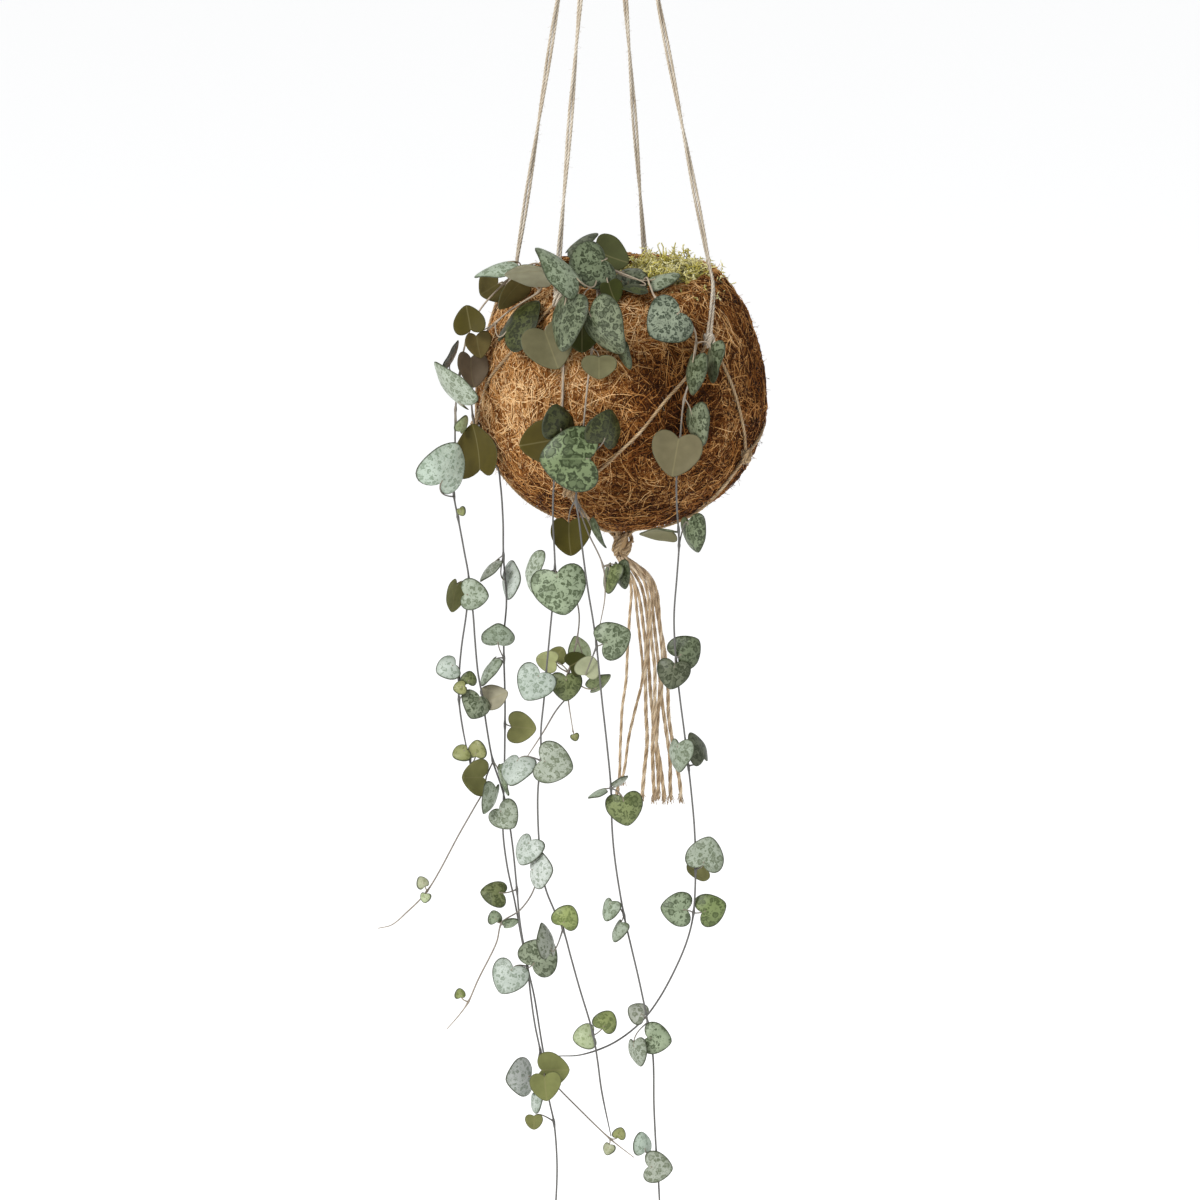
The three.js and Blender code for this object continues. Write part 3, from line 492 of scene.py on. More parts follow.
class Wiring:
    """A tree of nodes that is being made."""

    def __init__(self, tree: NodeTree) -> None:
        """Takes the tree."""
        self.tree = tree

    def node(self, kind: str, inputs: dict[str | int, Any] | None = None, **settings: Any
             ) -> Node:
        """Adds a node with its settings and links.

        Args:
            kind: Its type.
            inputs: For each input, by name or number, a value, the node that feeds it, or that
                node and its output.
            settings: Its properties.

        Returns:
            The node.
        """
        made = self.tree.nodes.new(kind)
        for name, value in settings.items():
            setattr(made, name, value)
        for name, value in (inputs or {}).items():
            entry = made.inputs[name] if isinstance(name, int) else next(
                socket for socket in made.inputs if socket.enabled and socket.name == name)
            if isinstance(value, Node):
                value = (value, next(socket.name for socket in value.outputs if socket.enabled))
            if isinstance(value, tuple) and isinstance(value[0], Node):
                source = next(s for s in value[0].outputs if s.enabled and s.name == value[1])
                self.tree.links.new(source, entry)
            else:
                entry.default_value = value
        return made


class Surface(Wiring):
    """A material that is being made: its tree, and the shader that it ends in."""

    def __init__(self, name: str, roughness: float, specular: float = 0.5, sheen: float = 0.0
                 ) -> None:
        """Starts the material.

        Args:
            name: What it is made of.
            roughness: The roughness of its surface.
            specular: The level of its gloss.
            sheen: The weight of its soft outer glow.
        """
        self.material = bpy.data.materials.new(name)
        self.material.use_nodes = True
        super().__init__(self.material.node_tree)
        self.shader = self.tree.nodes["Principled BSDF"]
        self.shader.inputs["Roughness"].default_value = roughness
        self.shader.inputs["Specular IOR Level"].default_value = specular
        self.shader.inputs["Sheen Weight"].default_value = sheen

    def ramp(self, factor: Any, stops: Sequence[tuple[float, str]]) -> Node:
        """Adds a colour ramp.

        Args:
            factor: What feeds it.
            stops: Positions and hex colours.

        Returns:
            The node.
        """
        made = self.node("ShaderNodeValToRGB", {"Fac": factor})
        elements = made.color_ramp.elements
        while len(elements) < len(stops):
            elements.new(0.5)
        for element, (position, colour) in zip(elements, stops):
            element.position = position
            element.color = linear(colour)
        return made

    def uneven(self, size: float, detail: float) -> Node:
        """Adds noise in the object whose swells are a number of millimetres apart."""
        return self.node("ShaderNodeTexNoise",
                         {"Vector": (self.node("ShaderNodeTexCoord"), "Object"),
                          "Scale": 1 / (size * MM), "Detail": detail})

    def finish(self, colour: Node, height: Node | None = None,
               strength: float = 0.0, depth: float = 0.0) -> Material:
        """Ends the material.

        Args:
            colour: What gives its colour.
            height: What gives the height of its bumps, if it has them.
            strength: How strongly they show.
            depth: How deep they are, in millimetres.

        Returns:
            The material.
        """
        feeds = {"Base Color": colour}
        if height is not None:
            feeds["Normal"] = self.node(
                "ShaderNodeBump", {"Height": height, "Strength": strength, "Distance": depth * MM})
        for name, source in feeds.items():
            output = next(socket for socket in source.outputs if socket.enabled)
            self.tree.links.new(output, self.shader.inputs[name])
        return self.material


# ------------------------------------------------------------------ finishes


@dataclass(frozen=True)
class JuteTwine:
    """Jute twine, plies of spun bast fibre: straw-coloured, matt and faintly silky, with fine
    streaks that run along each ply and painted shade in the grooves between the plies."""

    name: str = "jute twine"
    light: str = "#E7E0D2"
    middle: str = "#C8BCA8"
    dark: str = "#98866E"
    # painted shade: the colour at the bottom of a groove between plies
    groove: str = "#7A6A57"
    streak: float = 0.16  # width of a bundle of fibres
    run: float = 2.5  # length over which a bundle changes
    patch: float = 9.0  # width of a paler or darker stretch

    def material(self) -> Material:
        """Makes the material; it reads the attribute lay: round, along, and the painted shade in a
        groove.

        Returns:
            The material.
        """
        made = Surface(self.name, 0.82, 0.25, 0.15)
        node = made.node
        lay = node("ShaderNodeAttribute", attribute_name="lay")
        apart = node("ShaderNodeSeparateXYZ", {"Vector": (lay, "Vector")})
        drawn = node("ShaderNodeVectorMath",
                     {0: (lay, "Vector"), 1: (1 / self.streak, 1 / self.run, 0.0)},
                     operation="MULTIPLY")
        streaks = node("ShaderNodeTexNoise", {"Vector": drawn, "Scale": 1.0, "Detail": 3.0})
        both = node("ShaderNodeMix",
                    {"Factor": 0.35, "A": streaks, "B": made.uneven(self.patch, 2.0)},
                    data_type="FLOAT")
        colours = made.ramp(both, ((0.32, self.dark), (0.5, self.middle), (0.66, self.light)))
        # painted shade: darker towards the bottom of each groove
        deep = node("ShaderNodeMix",
                    {"Factor": (apart, "Z"), "A": (colours, "Color"), "B": linear(self.groove)},
                    data_type="RGBA")
        return made.finish(deep, streaks, 0.5, 0.12)


@dataclass(frozen=True)
class CoirFibre:
    """Coconut coir: stiff, matt fibres from honey to dark brown, each of its own shade, paler on
    the ball's upper left and redder and darker below, partly its own colour and partly painted
    light from the upper left and painted shade below."""

    stops: tuple[tuple[float, str], ...] = (
        (0.0, "#341805"), (0.2, "#6A3A12"), (0.42, "#9D662F"), (0.68, "#CB985D"), (1.0, "#ECC896"))
    patch: float = 24.0  # width of a paler or darker area
    # painted light: the coir is palest towards the upper left, where the key light falls, and
    # partly paler there in its own colour
    pale_and_lit_side: tuple[float, float, float] = (-0.7, -0.36, 0.56)  # where the palest coir faces
    painted_shadow: tuple[float, float] = (21.5, 257.0)  # painted shade: a darker patch on the near side, under the leaves
    painted_shadow_reach: float = 30.0
    sunk: float = 0.62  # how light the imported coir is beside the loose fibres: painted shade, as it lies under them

    def tone(self, made: Surface, shade: Any, spread: float) -> Node:
        """Works out how light the coir is, with its painted light and shade.

        Args:
            made: The material that is being made.
            shade: What gives each fibre's own shade, from 0 to 1.
            spread: How much that shade counts.

        Returns:
            A node that gives a number from 0, dark, to 1, light.
        """
        node = made.node
        place = node("ShaderNodeTexCoord")
        middle = (BALL.x * MM, 0.0, BALL.z * MM)
        out = node("ShaderNodeMapping", {"Vector": (place, "Object"), "Location": middle},
                   vector_type="TEXTURE")
        # painted light and shade: lighter towards the upper left and darker below and to the
        # right, partly the coir's own colour
        side = node("ShaderNodeVectorMath", {0: out, 1: self.pale_and_lit_side}, operation="DOT_PRODUCT")
        lit = node("ShaderNodeMapRange",
                   {"Value": (side, "Value"), "From Min": -0.045, "From Max": 0.05,
                    "To Min": 0.14, "To Max": 0.64})
        uneven = node("ShaderNodeMapRange",
                      {"Value": made.uneven(self.patch, 2.0), "From Min": 0.3, "From Max": 0.7,
                       "To Min": -0.16, "To Max": 0.16})
        own = node("ShaderNodeMapRange",
                   {"Value": shade, "To Min": -spread, "To Max": spread}, clamp=False)
        # painted shade: the coir darkens towards a spot on its near side
        from_painted_shadow = node("ShaderNodeVectorMath",
                           {0: (place, "Object"), 1: BALL.front(*self.painted_shadow, 0.0) * MM},
                           operation="DISTANCE")
        dim = node("ShaderNodeMapRange",
                   {"Value": (from_painted_shadow, "Value"), "From Min": self.painted_shadow_reach * MM,
                    "From Max": 0.2 * self.painted_shadow_reach * MM, "To Max": 0.3},
                   interpolation_type="SMOOTHSTEP")
        less = node("ShaderNodeMath", {0: lit, 1: dim}, operation="SUBTRACT")
        base = node("ShaderNodeMath", {0: less, 1: uneven}, operation="ADD")
        return node("ShaderNodeMath", {0: base, 1: own}, operation="ADD", use_clamp=True)

    def material(self) -> Material:
        """Makes the fibres' material; it reads the attribute shade.

        Returns:
            The material.
        """
        made = Surface("coir fibre", 0.75, 0.14)
        shade = made.node("ShaderNodeAttribute", attribute_name="shade")
        return made.finish(made.ramp(self.tone(made, (shade, "Fac"), 0.46), self.stops))

    def mat(self) -> Material:
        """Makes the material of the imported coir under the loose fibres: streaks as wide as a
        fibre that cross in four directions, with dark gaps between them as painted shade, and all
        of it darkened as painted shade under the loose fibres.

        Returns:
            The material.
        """
        made = Surface("packed coir", 0.9, 0.15)
        node = made.node
        place = node("ShaderNodeTexCoord")
        streaks = []
        for turn in ((0.3, 0.2, 0.4), (1.2, 0.7, 1.5), (0.4, 2.1, 0.9), (2.3, 1.1, 0.2)):
            laid = node("ShaderNodeMapping",
                        {"Vector": (place, "Object"), "Rotation": turn,
                         "Scale": (1 / (0.5 * MM), 1 / (0.5 * MM), 1 / (7 * MM))})
            streaks.append(node("ShaderNodeTexNoise", {"Vector": laid, "Scale": 1.0,
                                                       "Detail": 1.0, "Distortion": 0.6}))
        top = streaks[0]
        for other in streaks[1:]:
            top = node("ShaderNodeMath", {0: top, 1: other}, operation="MAXIMUM")
        sharp = node("ShaderNodeMapRange", {"Value": top, "From Min": 0.5, "From Max": 0.72})
        # painted shade: darker in the gaps between streaks, and darker overall by sunk
        darker = node("ShaderNodeMath", {0: self.tone(made, sharp, 0.42), 1: self.sunk},
                      operation="MULTIPLY")
        return made.finish(made.ramp(darker, self.stops), sharp, 0.9, 0.5)


@dataclass(frozen=True)
class PottingSoil:
    """Damp peat-based potting soil: near-black brown crumbs, matt, with a few paler specks."""

    crumb: float = 1.6
    stops: tuple[tuple[float, str], ...] = ((0.3, "#1A110B"), (0.52, "#35241A"), (0.7, "#5A4130"))

    def material(self) -> Material:
        """Makes the material.

        Returns:
            The material.
        """
        made = Surface("potting soil", 0.95, 0.2)
        crumbs = made.uneven(self.crumb, 4.0)
        return made.finish(made.ramp(crumbs, self.stops), crumbs, 1.0, 0.8)


@dataclass(frozen=True)
class Moss:
    """Living cushion moss: thin springy sprigs, straw-yellow and lime at the tips and brown
    in the depth, partly the moss's own colour and partly a painted highlight at the tips and
    painted shade in the depth; the mound, which has no attributes, takes the dark end."""

    # painted shade at the dark end and a painted highlight at the pale end, the moss's own colours
    # between
    stops: tuple[tuple[float, str], ...] = (
        (0.22, "#2C2A0E"), (0.41, "#7A7426"), (0.58, "#C2B549"), (0.8, "#F0E9AE"))
    patch: float = 5.0  # width of a paler or darker tuft

    def material(self) -> Material:
        """Makes the material; it reads the attributes shade and rise, the share of a sprig's
        height.

        Returns:
            The material.
        """
        made = Surface("cushion moss", 0.7, 0.25, 0.2)
        node = made.node
        shade = node("ShaderNodeAttribute", attribute_name="shade")
        rise = node("ShaderNodeAttribute", attribute_name="rise")
        both = node("ShaderNodeMix",
                    {"Factor": 0.4, "A": (shade, "Fac"), "B": made.uneven(self.patch, 2.0)},
                    data_type="FLOAT")
        # painted highlight and shade: paler towards a sprig's tip and darker at its foot, partly
        # the moss's own colour
        high = node("ShaderNodeMix", {"Factor": 0.5, "A": both, "B": (rise, "Fac")},
                    data_type="FLOAT")
        return made.finish(made.ramp(high, self.stops))


@dataclass(frozen=True)
class LeafTone:
    """The colours of one kind of leaf: its ground and markings above, and its underside."""

    ground: str
    marking: str
    under: str
    cover: float = 0.45  # how much of the upper face is marked
    cell: float = 2.6  # distance from one marking to the next


class Tone(Enum):
    """The kinds of leaf on the plant, by what each shows most. DEEP, BROWN and KHAKI are partly
    the leaves' own darker colour and partly painted shade: darker copies of the green and olive
    tones for leaves in shade, most of them on and beside the ball.
    """

    SILVER = LeafTone("#B6BFB5", "#7F8B7B", "#6F7052", 0.36, 2.3)
    SHADY = LeafTone("#A0A998", "#636D55", "#6F7052", 0.42, 2.4)
    MARBLED = LeafTone("#8C977D", "#444F35", "#62633F", 0.46, 2.9)
    FRESH = LeafTone("#AEB793", "#8A956C", "#A3A776", 0.3, 2.2)
    GREEN = LeafTone("#768153", "#424D26", "#5C5E34", 0.46)
    BRIGHT = LeafTone("#8A955D", "#5C6836", "#7C8048", 0.46)
    DARK = LeafTone("#646C54", "#2F371F", "#4A4C2C", 0.52)
    YOUNG = LeafTone("#939A64", "#6D743F", "#878C58", 0.3, 2.2)
    SPECKLED = LeafTone("#88947C", "#2C3826", "#453D1A", 0.42, 2.1)
    SPOTTED = LeafTone("#717A5F", "#283018", "#453D1A", 0.5, 2.7)
    RINGED = LeafTone("#78875F", "#26320F", "#453D1A", 0.56, 4.2)
    # partly painted shade: a darker green for leaves in shade, most of them on the ball
    DEEP = LeafTone("#454C26", "#1C2106", "#363B12", 0.56, 2.9)
    OLIVE = LeafTone("#8C977D", "#444F35", "#7C7D4D")
    # partly painted shade: darker copies of OLIVE's underside for leaves in shade on and beside
    # the ball
    BROWN = LeafTone("#68705B", "#343C27", "#4A4217")
    KHAKI = LeafTone("#68705B", "#343C27", "#72663C")
    UMBER = LeafTone("#68705B", "#343C27", "#756B56")
    DUSTY = LeafTone("#8C977D", "#444F35", "#A5A588")
    PALE = LeafTone("#8C977D", "#444F35", "#6D694B")


(SILVER, SHADY, MARBLED, FRESH, GREEN, BRIGHT, DARK, YOUNG, SPECKLED, SPOTTED, RINGED, DEEP, OLIVE,
 BROWN, KHAKI, UMBER, DUSTY, PALE) = Tone


@dataclass(frozen=True)
class LeafSkin:
    """The waxy skin of a rosary-vine leaf: satin, silver to olive above, with dark uneven
    blotches that are paler in the middle, and a thin dark edge."""

    stray: float = 1.1  # how far a blotch's outline wanders, in distances between blotches
    edge: float = 0.4  # width of the dark edge
    edge_tone: str = "#353B26"
    under_edge: str = "#3A3A20"
    under_shade: str = "#2E2A18"
    vein: str = "#8F8760"
    scar: str = "#4B4440"  # darker spots on a stem

    def upper(self) -> Material:
        """Makes the upper face's material; it reads the attributes blade, ground, marking and
        spots.

        Returns:
            The material.
        """
        made = Surface("leaf skin, upper", 0.42, 0.3)
        node = made.node
        blade, ground, marking, spots = (
            node("ShaderNodeAttribute", attribute_name=name)
            for name in ("blade", "ground", "marking", "spots"))
        cover = node("ShaderNodeSeparateXYZ", {"Vector": (spots, "Vector")})
        wander = node("ShaderNodeTexNoise",
                      {"Vector": (spots, "Vector"), "Scale": 1.7, "Detail": 2.5})
        bent = node("ShaderNodeVectorMath",
                    {0: (wander, "Color"), 1: (self.stray, self.stray, 0.0),
                     2: (spots, "Vector")}, operation="MULTIPLY_ADD")
        marks = []
        for scale, share in ((1.0, 1.0), (2.3, 0.62)):
            cells = node("ShaderNodeTexVoronoi",
                         {"Vector": bent, "Scale": scale, "Randomness": 0.95},
                         voronoi_dimensions="2D")
            own = node("ShaderNodeSeparateColor", {"Color": (cells, "Color")})
            size = node("ShaderNodeMapRange",
                        {"Value": (own, "Red"), "To Min": 0.3 * share, "To Max": 1.25 * share})
            reach = node("ShaderNodeMath", {0: (cover, "Z"), 1: size}, operation="MULTIPLY")
            inside = node("ShaderNodeMath", {0: reach, 1: (cells, "Distance")},
                          operation="SUBTRACT")
            marks.append(node("ShaderNodeMapRange",
                              {"Value": inside, "From Min": -0.05, "From Max": 0.06,
                               "To Max": share ** 0.5}, interpolation_type="SMOOTHSTEP"))
            if share == 1.0:
                heart = node("ShaderNodeMapRange",
                             {"Value": inside, "From Min": 0.16, "From Max": 0.34,
                              "To Min": 1.0, "To Max": 0.5}, interpolation_type="SMOOTHSTEP")
        holed = node("ShaderNodeMath", {0: marks[0], 1: heart}, operation="MULTIPLY")
        every = node("ShaderNodeMath", {0: holed, 1: marks[1]}, operation="MAXIMUM")
        apart = node("ShaderNodeSeparateXYZ", {"Vector": (blade, "Vector")})
        aside = node("ShaderNodeMath", {0: apart}, operation="ABSOLUTE")
        off_rib = node("ShaderNodeMapRange",
                       {"Value": aside, "From Min": 0.1, "From Max": 0.5, "To Min": 0.35,
                        "To Max": 0.95}, interpolation_type="SMOOTHSTEP")
        marked = node("ShaderNodeMath", {0: every, 1: off_rib}, operation="MULTIPLY")
        cloud = node("ShaderNodeTexNoise",
                     {"Vector": (spots, "Vector"), "Scale": 0.55, "Detail": 2.0})
        dusk = node("ShaderNodeMapRange",
                    {"Value": cloud, "From Min": 0.35, "From Max": 0.75, "To Max": 0.35})
        near_edge = node("ShaderNodeMapRange",
                         {"Value": (apart, "Z"), "From Min": self.edge * 6, "From Max": 0.0,
                          "To Max": 0.4})
        shade = node("ShaderNodeMath", {0: dusk, 1: near_edge}, operation="ADD")
        body = node("ShaderNodeMix",
                    {"Factor": shade, "A": (ground, "Color"), "B": (marking, "Color")},
                    data_type="RGBA")
        skin = node("ShaderNodeMix",
                    {"Factor": marked, "A": body, "B": (marking, "Color")}, data_type="RGBA")
        rim = node("ShaderNodeMapRange",
                   {"Value": (apart, "Z"), "From Min": self.edge * 1.7,
                    "From Max": self.edge * 0.4, "To Max": 0.9},
                   interpolation_type="SMOOTHSTEP")
        edged = node("ShaderNodeMix",
                     {"Factor": rim, "A": skin, "B": linear(self.edge_tone)}, data_type="RGBA")
        return made.finish(edged, marked, 0.3, 0.15)

    def under(self) -> Material:
        """Makes the underside's material: one dull colour with faint veins from the petiole;
        it reads the attributes blade and ground.

        Returns:
            The material.
        """
        made = Surface("leaf skin, underside", 0.6, 0.14)
        node = made.node
        blade = node("ShaderNodeAttribute", attribute_name="blade")
        ground = node("ShaderNodeAttribute", attribute_name="ground")
        depth = node("ShaderNodeMapRange",
                     {"Value": made.uneven(3.5, 3.0), "From Min": 0.3, "From Max": 0.7,
                      "To Max": 0.22})
        shaded = node("ShaderNodeMix",
                      {"Factor": depth, "A": (ground, "Color"), "B": linear(self.under_shade)},
                      data_type="RGBA")
        apart = node("ShaderNodeSeparateXYZ", {"Vector": (blade, "Vector")})
        aside = node("ShaderNodeMath", {0: apart}, operation="ABSOLUTE")
        vein = node("ShaderNodeMapRange",
                    {"Value": aside, "From Min": 0.4, "From Max": 0.1, "To Max": 0.25},
                    interpolation_type="SMOOTHSTEP")
        veined = node("ShaderNodeMix",
                      {"Factor": vein, "A": shaded, "B": linear(self.vein)}, data_type="RGBA")
        rim = node("ShaderNodeMapRange",
                   {"Value": (apart, "Z"), "From Min": self.edge * 1.5, "From Max": 0.0,
                    "To Max": 0.6}, interpolation_type="SMOOTHSTEP")
        edged = node("ShaderNodeMix",
                     {"Factor": rim, "A": veined, "B": linear(self.under_edge)}, data_type="RGBA")
        return made.finish(edged)

    def stem(self) -> Material:
        """Makes the stems' material: a thin, satin, purplish grey skin, cream where it has
        had no sun; it reads the attribute ground.

        Returns:
            The material.
        """
        made = Surface("vine stem skin", 0.5, 0.35)
        node = made.node
        ground = node("ShaderNodeAttribute", attribute_name="ground")
        depth = node("ShaderNodeMapRange",
                     {"Value": made.uneven(2.0, 3.0), "From Min": 0.35, "From Max": 0.75,
                      "To Max": 0.4})
        shaded = node("ShaderNodeMix",
                      {"Factor": depth, "A": (ground, "Color"), "B": linear(self.scar)},
                      data_type="RGBA")
        return made.finish(shaded)


# ------------------------------------------------------------------ what grows on a surface


class Growth(Wiring):
    """A Geometry Nodes tree with named sizes, and the plain mesh that it turns into."""

    def __init__(self, name: str) -> None:
        """Starts the tree.

        Args:
            name: What grows.
        """
        self.name = name
        super().__init__(bpy.data.node_groups.new(name, "GeometryNodeTree"))
        self.tree.interface.new_socket("Carrier", in_out="INPUT", socket_type="NodeSocketGeometry")
        self.tree.interface.new_socket("Grown", in_out="OUTPUT", socket_type="NodeSocketGeometry")
        self.entry = self.tree.nodes.new("NodeGroupInput")
        self.values: dict[str, Any] = {}

    def size(self, name: str, value: float | int | Object) -> tuple[Node, str]:
        """Adds a named input.

        Args:
            name: Its name.
            value: Its value.

        Returns:
            What a node's input takes to be fed by it.
        """
        kinds = {int: "NodeSocketInt", float: "NodeSocketFloat"}
        kind = kinds.get(type(value), "NodeSocketObject")
        item = self.tree.interface.new_socket(name, in_out="INPUT", socket_type=kind)
        self.values[item.identifier] = value
        return self.entry, name

    def scatter(self, density: float, seed: int) -> tuple[Node, Node]:
        """Scatters points on the carrier.

        Args:
            density: How many there are to a square millimetre.
            seed: The seed.

        Returns:
            The node that scatters them, and the one that gives each its own shade.
        """
        spread = self.node("GeometryNodeDistributePointsOnFaces",
                           {"Mesh": (self.entry, "Carrier"), "Seed": seed,
                            "Density": self.size("Density", density / MM**2)})
        shade = self.node("GeometryNodeStoreNamedAttribute",
                          {"Geometry": (spread, "Points"), "Name": "shade",
                           "Value": self.chance(0.0, 1.0, seed + 1)}, data_type="FLOAT")
        return spread, shade

    def spun(self, spread: Node, seed: int) -> Node:
        """Turns each point's rotation round its normal, by chance."""
        spin = self.node("FunctionNodeAxisAngleToRotation",
                         {"Axis": (0.0, 0.0, 1.0), "Angle": self.chance(0.0, 2 * math.pi, seed)})
        return self.node("FunctionNodeRotateRotation",
                         {"Rotation": (spread, "Rotation"), "Rotate By": spin},
                         rotation_space="LOCAL")

    def leaned(self, spun: Node, least: float, most: float, seed: int) -> Node:
        """Leans each point's rotation from its normal, by chance between two angles."""
        angle = self.chance(math.radians(least), self.size("Lean", math.radians(most)), seed)
        tilt = self.node("FunctionNodeAxisAngleToRotation",
                         {"Axis": (1.0, 0.0, 0.0), "Angle": angle})
        return self.node("FunctionNodeRotateRotation", {"Rotation": spun, "Rotate By": tilt},
                         rotation_space="LOCAL")

    def lengths(self, shortest: float, longest: float, seed: int) -> Node:
        """Gives each point a length between two, in millimetres."""
        return self.chance(self.size("Shortest", shortest * MM),
                           self.size("Longest", longest * MM), seed)

    def line(self, start: tuple[float, ...], end: tuple[float, ...], segments: int) -> Node:
        """Adds a straight line that is cut into segments."""
        whole = self.node("GeometryNodeCurvePrimitiveLine", {"Start": start, "End": end})
        return self.node("GeometryNodeResampleCurve",
                         {"Curve": whole, "Count": self.size("Points", segments + 1)})

    def thread(self, curve: Node, radius: float) -> Node:
        """Gives a curve a thin body with three sides, of a radius in millimetres."""
        profile = self.node("GeometryNodeCurvePrimitiveCircle",
                            {"Resolution": 3, "Radius": self.size("Thickness", radius * MM)})
        return self.node("GeometryNodeCurveToMesh",
                         {"Curve": curve, "Profile Curve": profile, "Fill Caps": True})

    def own_noise(self, size: float, detail: float) -> Node:
        """Adds noise whose swells are a number of millimetres apart, different for each shade."""
        shade = self.node("GeometryNodeInputNamedAttribute", {"Name": "shade"}, data_type="FLOAT")
        own = self.node("ShaderNodeMath", {0: shade, 1: 91.0}, operation="MULTIPLY")
        return self.node("ShaderNodeTexNoise",
                         {"Vector": self.node("GeometryNodeInputPosition"), "W": own,
                          "Scale": 1 / (size * MM), "Detail": detail}, noise_dimensions="4D")

    def aside(self, noise: Node, far: Any) -> Node:
        """Turns noise into a way to go aside, as far as a distance says."""
        way = self.node("ShaderNodeVectorMath", {0: (noise, "Color"), 1: (0.5, 0.5, 0.5)},
                        operation="SUBTRACT")
        return self.node("ShaderNodeVectorMath", {"Vector": way, "Scale": far}, operation="SCALE")

    def chance(self, low: Any, high: Any, seed: int) -> Node:
        """Adds a random number between two values, with a fixed seed."""
        return self.node("FunctionNodeRandomValue", {"Min": low, "Max": high, "Seed": seed},
                         data_type="FLOAT")

    def finish(self, result: Any, material: Material) -> None:
        """Ends the tree.

        Args:
            result: What gives the grown mesh.
            material: What it is made of.
        """
        real = self.node("GeometryNodeRealizeInstances", {"Geometry": result})
        smooth_faces = self.node("GeometryNodeSetShadeSmooth", {"Geometry": real})
        dressed = self.node("GeometryNodeSetMaterial",
                            {"Geometry": smooth_faces, "Material": material})
        self.node("NodeGroupOutput", {"Grown": dressed})

    def grow(self, carrier: Object) -> Object:
        """Runs the tree on a carrier.

        Args:
            carrier: The surface that it grows on.

        Returns:
            What grew, as a plain mesh.
        """
        modifier = carrier.modifiers.new(self.name, "NODES")
        modifier.node_group = self.tree
        for identifier, value in self.values.items():
            modifier[identifier] = value
        seen_by = bpy.context.evaluated_depsgraph_get()
        mesh = bpy.data.meshes.new_from_object(
            carrier.evaluated_get(seen_by), preserve_all_data_layers=True, depsgraph=seen_by)
        carrier.modifiers.remove(modifier)
        mesh.name = self.name
        return add_object(self.name, mesh)


@dataclass(frozen=True)
class FibreMat:
    """Fibres that lie on a surface, bent every way and woven over and under each other."""

    name: str
    density: float  # fibres per square millimetre
    shortest: float
    longest: float
    thickness: float  # radius of a fibre
    wander: float  # how far a fibre bends aside
    lift: float  # how far off the surface the highest stretch of a fibre lies
    segments: int
    seed: int

    def grow(self, carrier: Object, material: Material) -> Object:
        """Lays the fibres.

        Args:
            carrier: The surface that they lie on.
            material: What they are made of.

        Returns:
            The fibres, as one plain mesh.
        """
        growth = Growth(self.name)
        node = growth.node
        seed = self.seed
        spread, marked = growth.scatter(self.density, seed)
        line = growth.line((-0.5, 0.0, 0.0), (0.5, 0.0, 0.0), self.segments)
        laid = node("GeometryNodeInstanceOnPoints",
                    {"Points": marked, "Instance": line, "Rotation": growth.spun(spread, seed + 2),
                     "Scale": growth.lengths(self.shortest, self.longest, seed + 3)})
        loose = node("GeometryNodeRealizeInstances", {"Geometry": laid})
        far = growth.aside(growth.own_noise(15, 1.0),
                           growth.size("Wander", NOISE_SPAN * self.wander * MM))
        bent = node("GeometryNodeSetPosition", {"Geometry": loose, "Offset": far})
        nearest = node("GeometryNodeProximity", {"Geometry": (growth.entry, "Carrier")},
                       target_element="FACES")
        outward = node("GeometryNodeSampleNearestSurface",
                       {"Mesh": (growth.entry, "Carrier"),
                        "Value": node("GeometryNodeInputNormal")}, data_type="FLOAT_VECTOR")
        height = node("ShaderNodeMapRange",
                      {"Value": growth.own_noise(5, 0.0), "From Min": 0.3, "From Max": 0.7,
                       "To Min": -0.5 * self.thickness * MM,
                       "To Max": growth.size("Lift", self.lift * MM)})
        raised = node("ShaderNodeVectorMath", {"Vector": outward, "Scale": height},
                      operation="SCALE")
        lying = node("ShaderNodeVectorMath", {0: (nearest, "Position"), 1: raised},
                     operation="ADD")
        pressed = node("GeometryNodeSetPosition", {"Geometry": bent, "Position": lying})
        growth.finish(growth.thread(pressed, self.thickness), material)
        return growth.grow(carrier)


@dataclass(frozen=True)
class Hairs:
    """Loose fibres that stand off a surface, each leaning and curling its own way."""

    name: str
    density: float  # hairs per square millimetre
    shortest: float
    longest: float
    thickness: float
    lean: float  # the most that one leans from upright, in degrees
    curl: float  # how far a tip wanders
    segments: int
    seed: int
    swell: float = 6.0  # distance between two bends of a hair

    def grow(self, carrier: Object, material: Material) -> Object:
        """Grows the hairs.

        Args:
            carrier: The surface that they stand on.
            material: What they are made of.

        Returns:
            The hairs, as one plain mesh.
        """
        growth = Growth(self.name)
        node = growth.node
        seed = self.seed
        spread, marked = growth.scatter(self.density, seed)
        line = growth.line((0.0, 0.0, 0.0), (0.0, 0.0, 1.0), self.segments)
        turn = growth.leaned(growth.spun(spread, seed + 2), 17, self.lean, seed + 3)
        stood = node("GeometryNodeInstanceOnPoints",
                     {"Points": marked, "Instance": line, "Rotation": turn,
                      "Scale": growth.lengths(self.shortest, self.longest, seed + 4)})
        loose = node("GeometryNodeRealizeInstances", {"Geometry": stood})
        share = node("GeometryNodeSplineParameter")
        reach = node("ShaderNodeMath", {0: (share, "Factor"), 1: NOISE_SPAN * self.curl * MM},
                     operation="MULTIPLY")
        far = growth.aside(growth.own_noise(self.swell, 1.0), reach)
        bent = node("GeometryNodeSetPosition", {"Geometry": loose, "Offset": far})
        risen = node("GeometryNodeStoreNamedAttribute",
                     {"Geometry": bent, "Name": "rise", "Value": (share, "Factor")},
                     data_type="FLOAT")
        growth.finish(growth.thread(risen, self.thickness), material)
        return growth.grow(carrier)


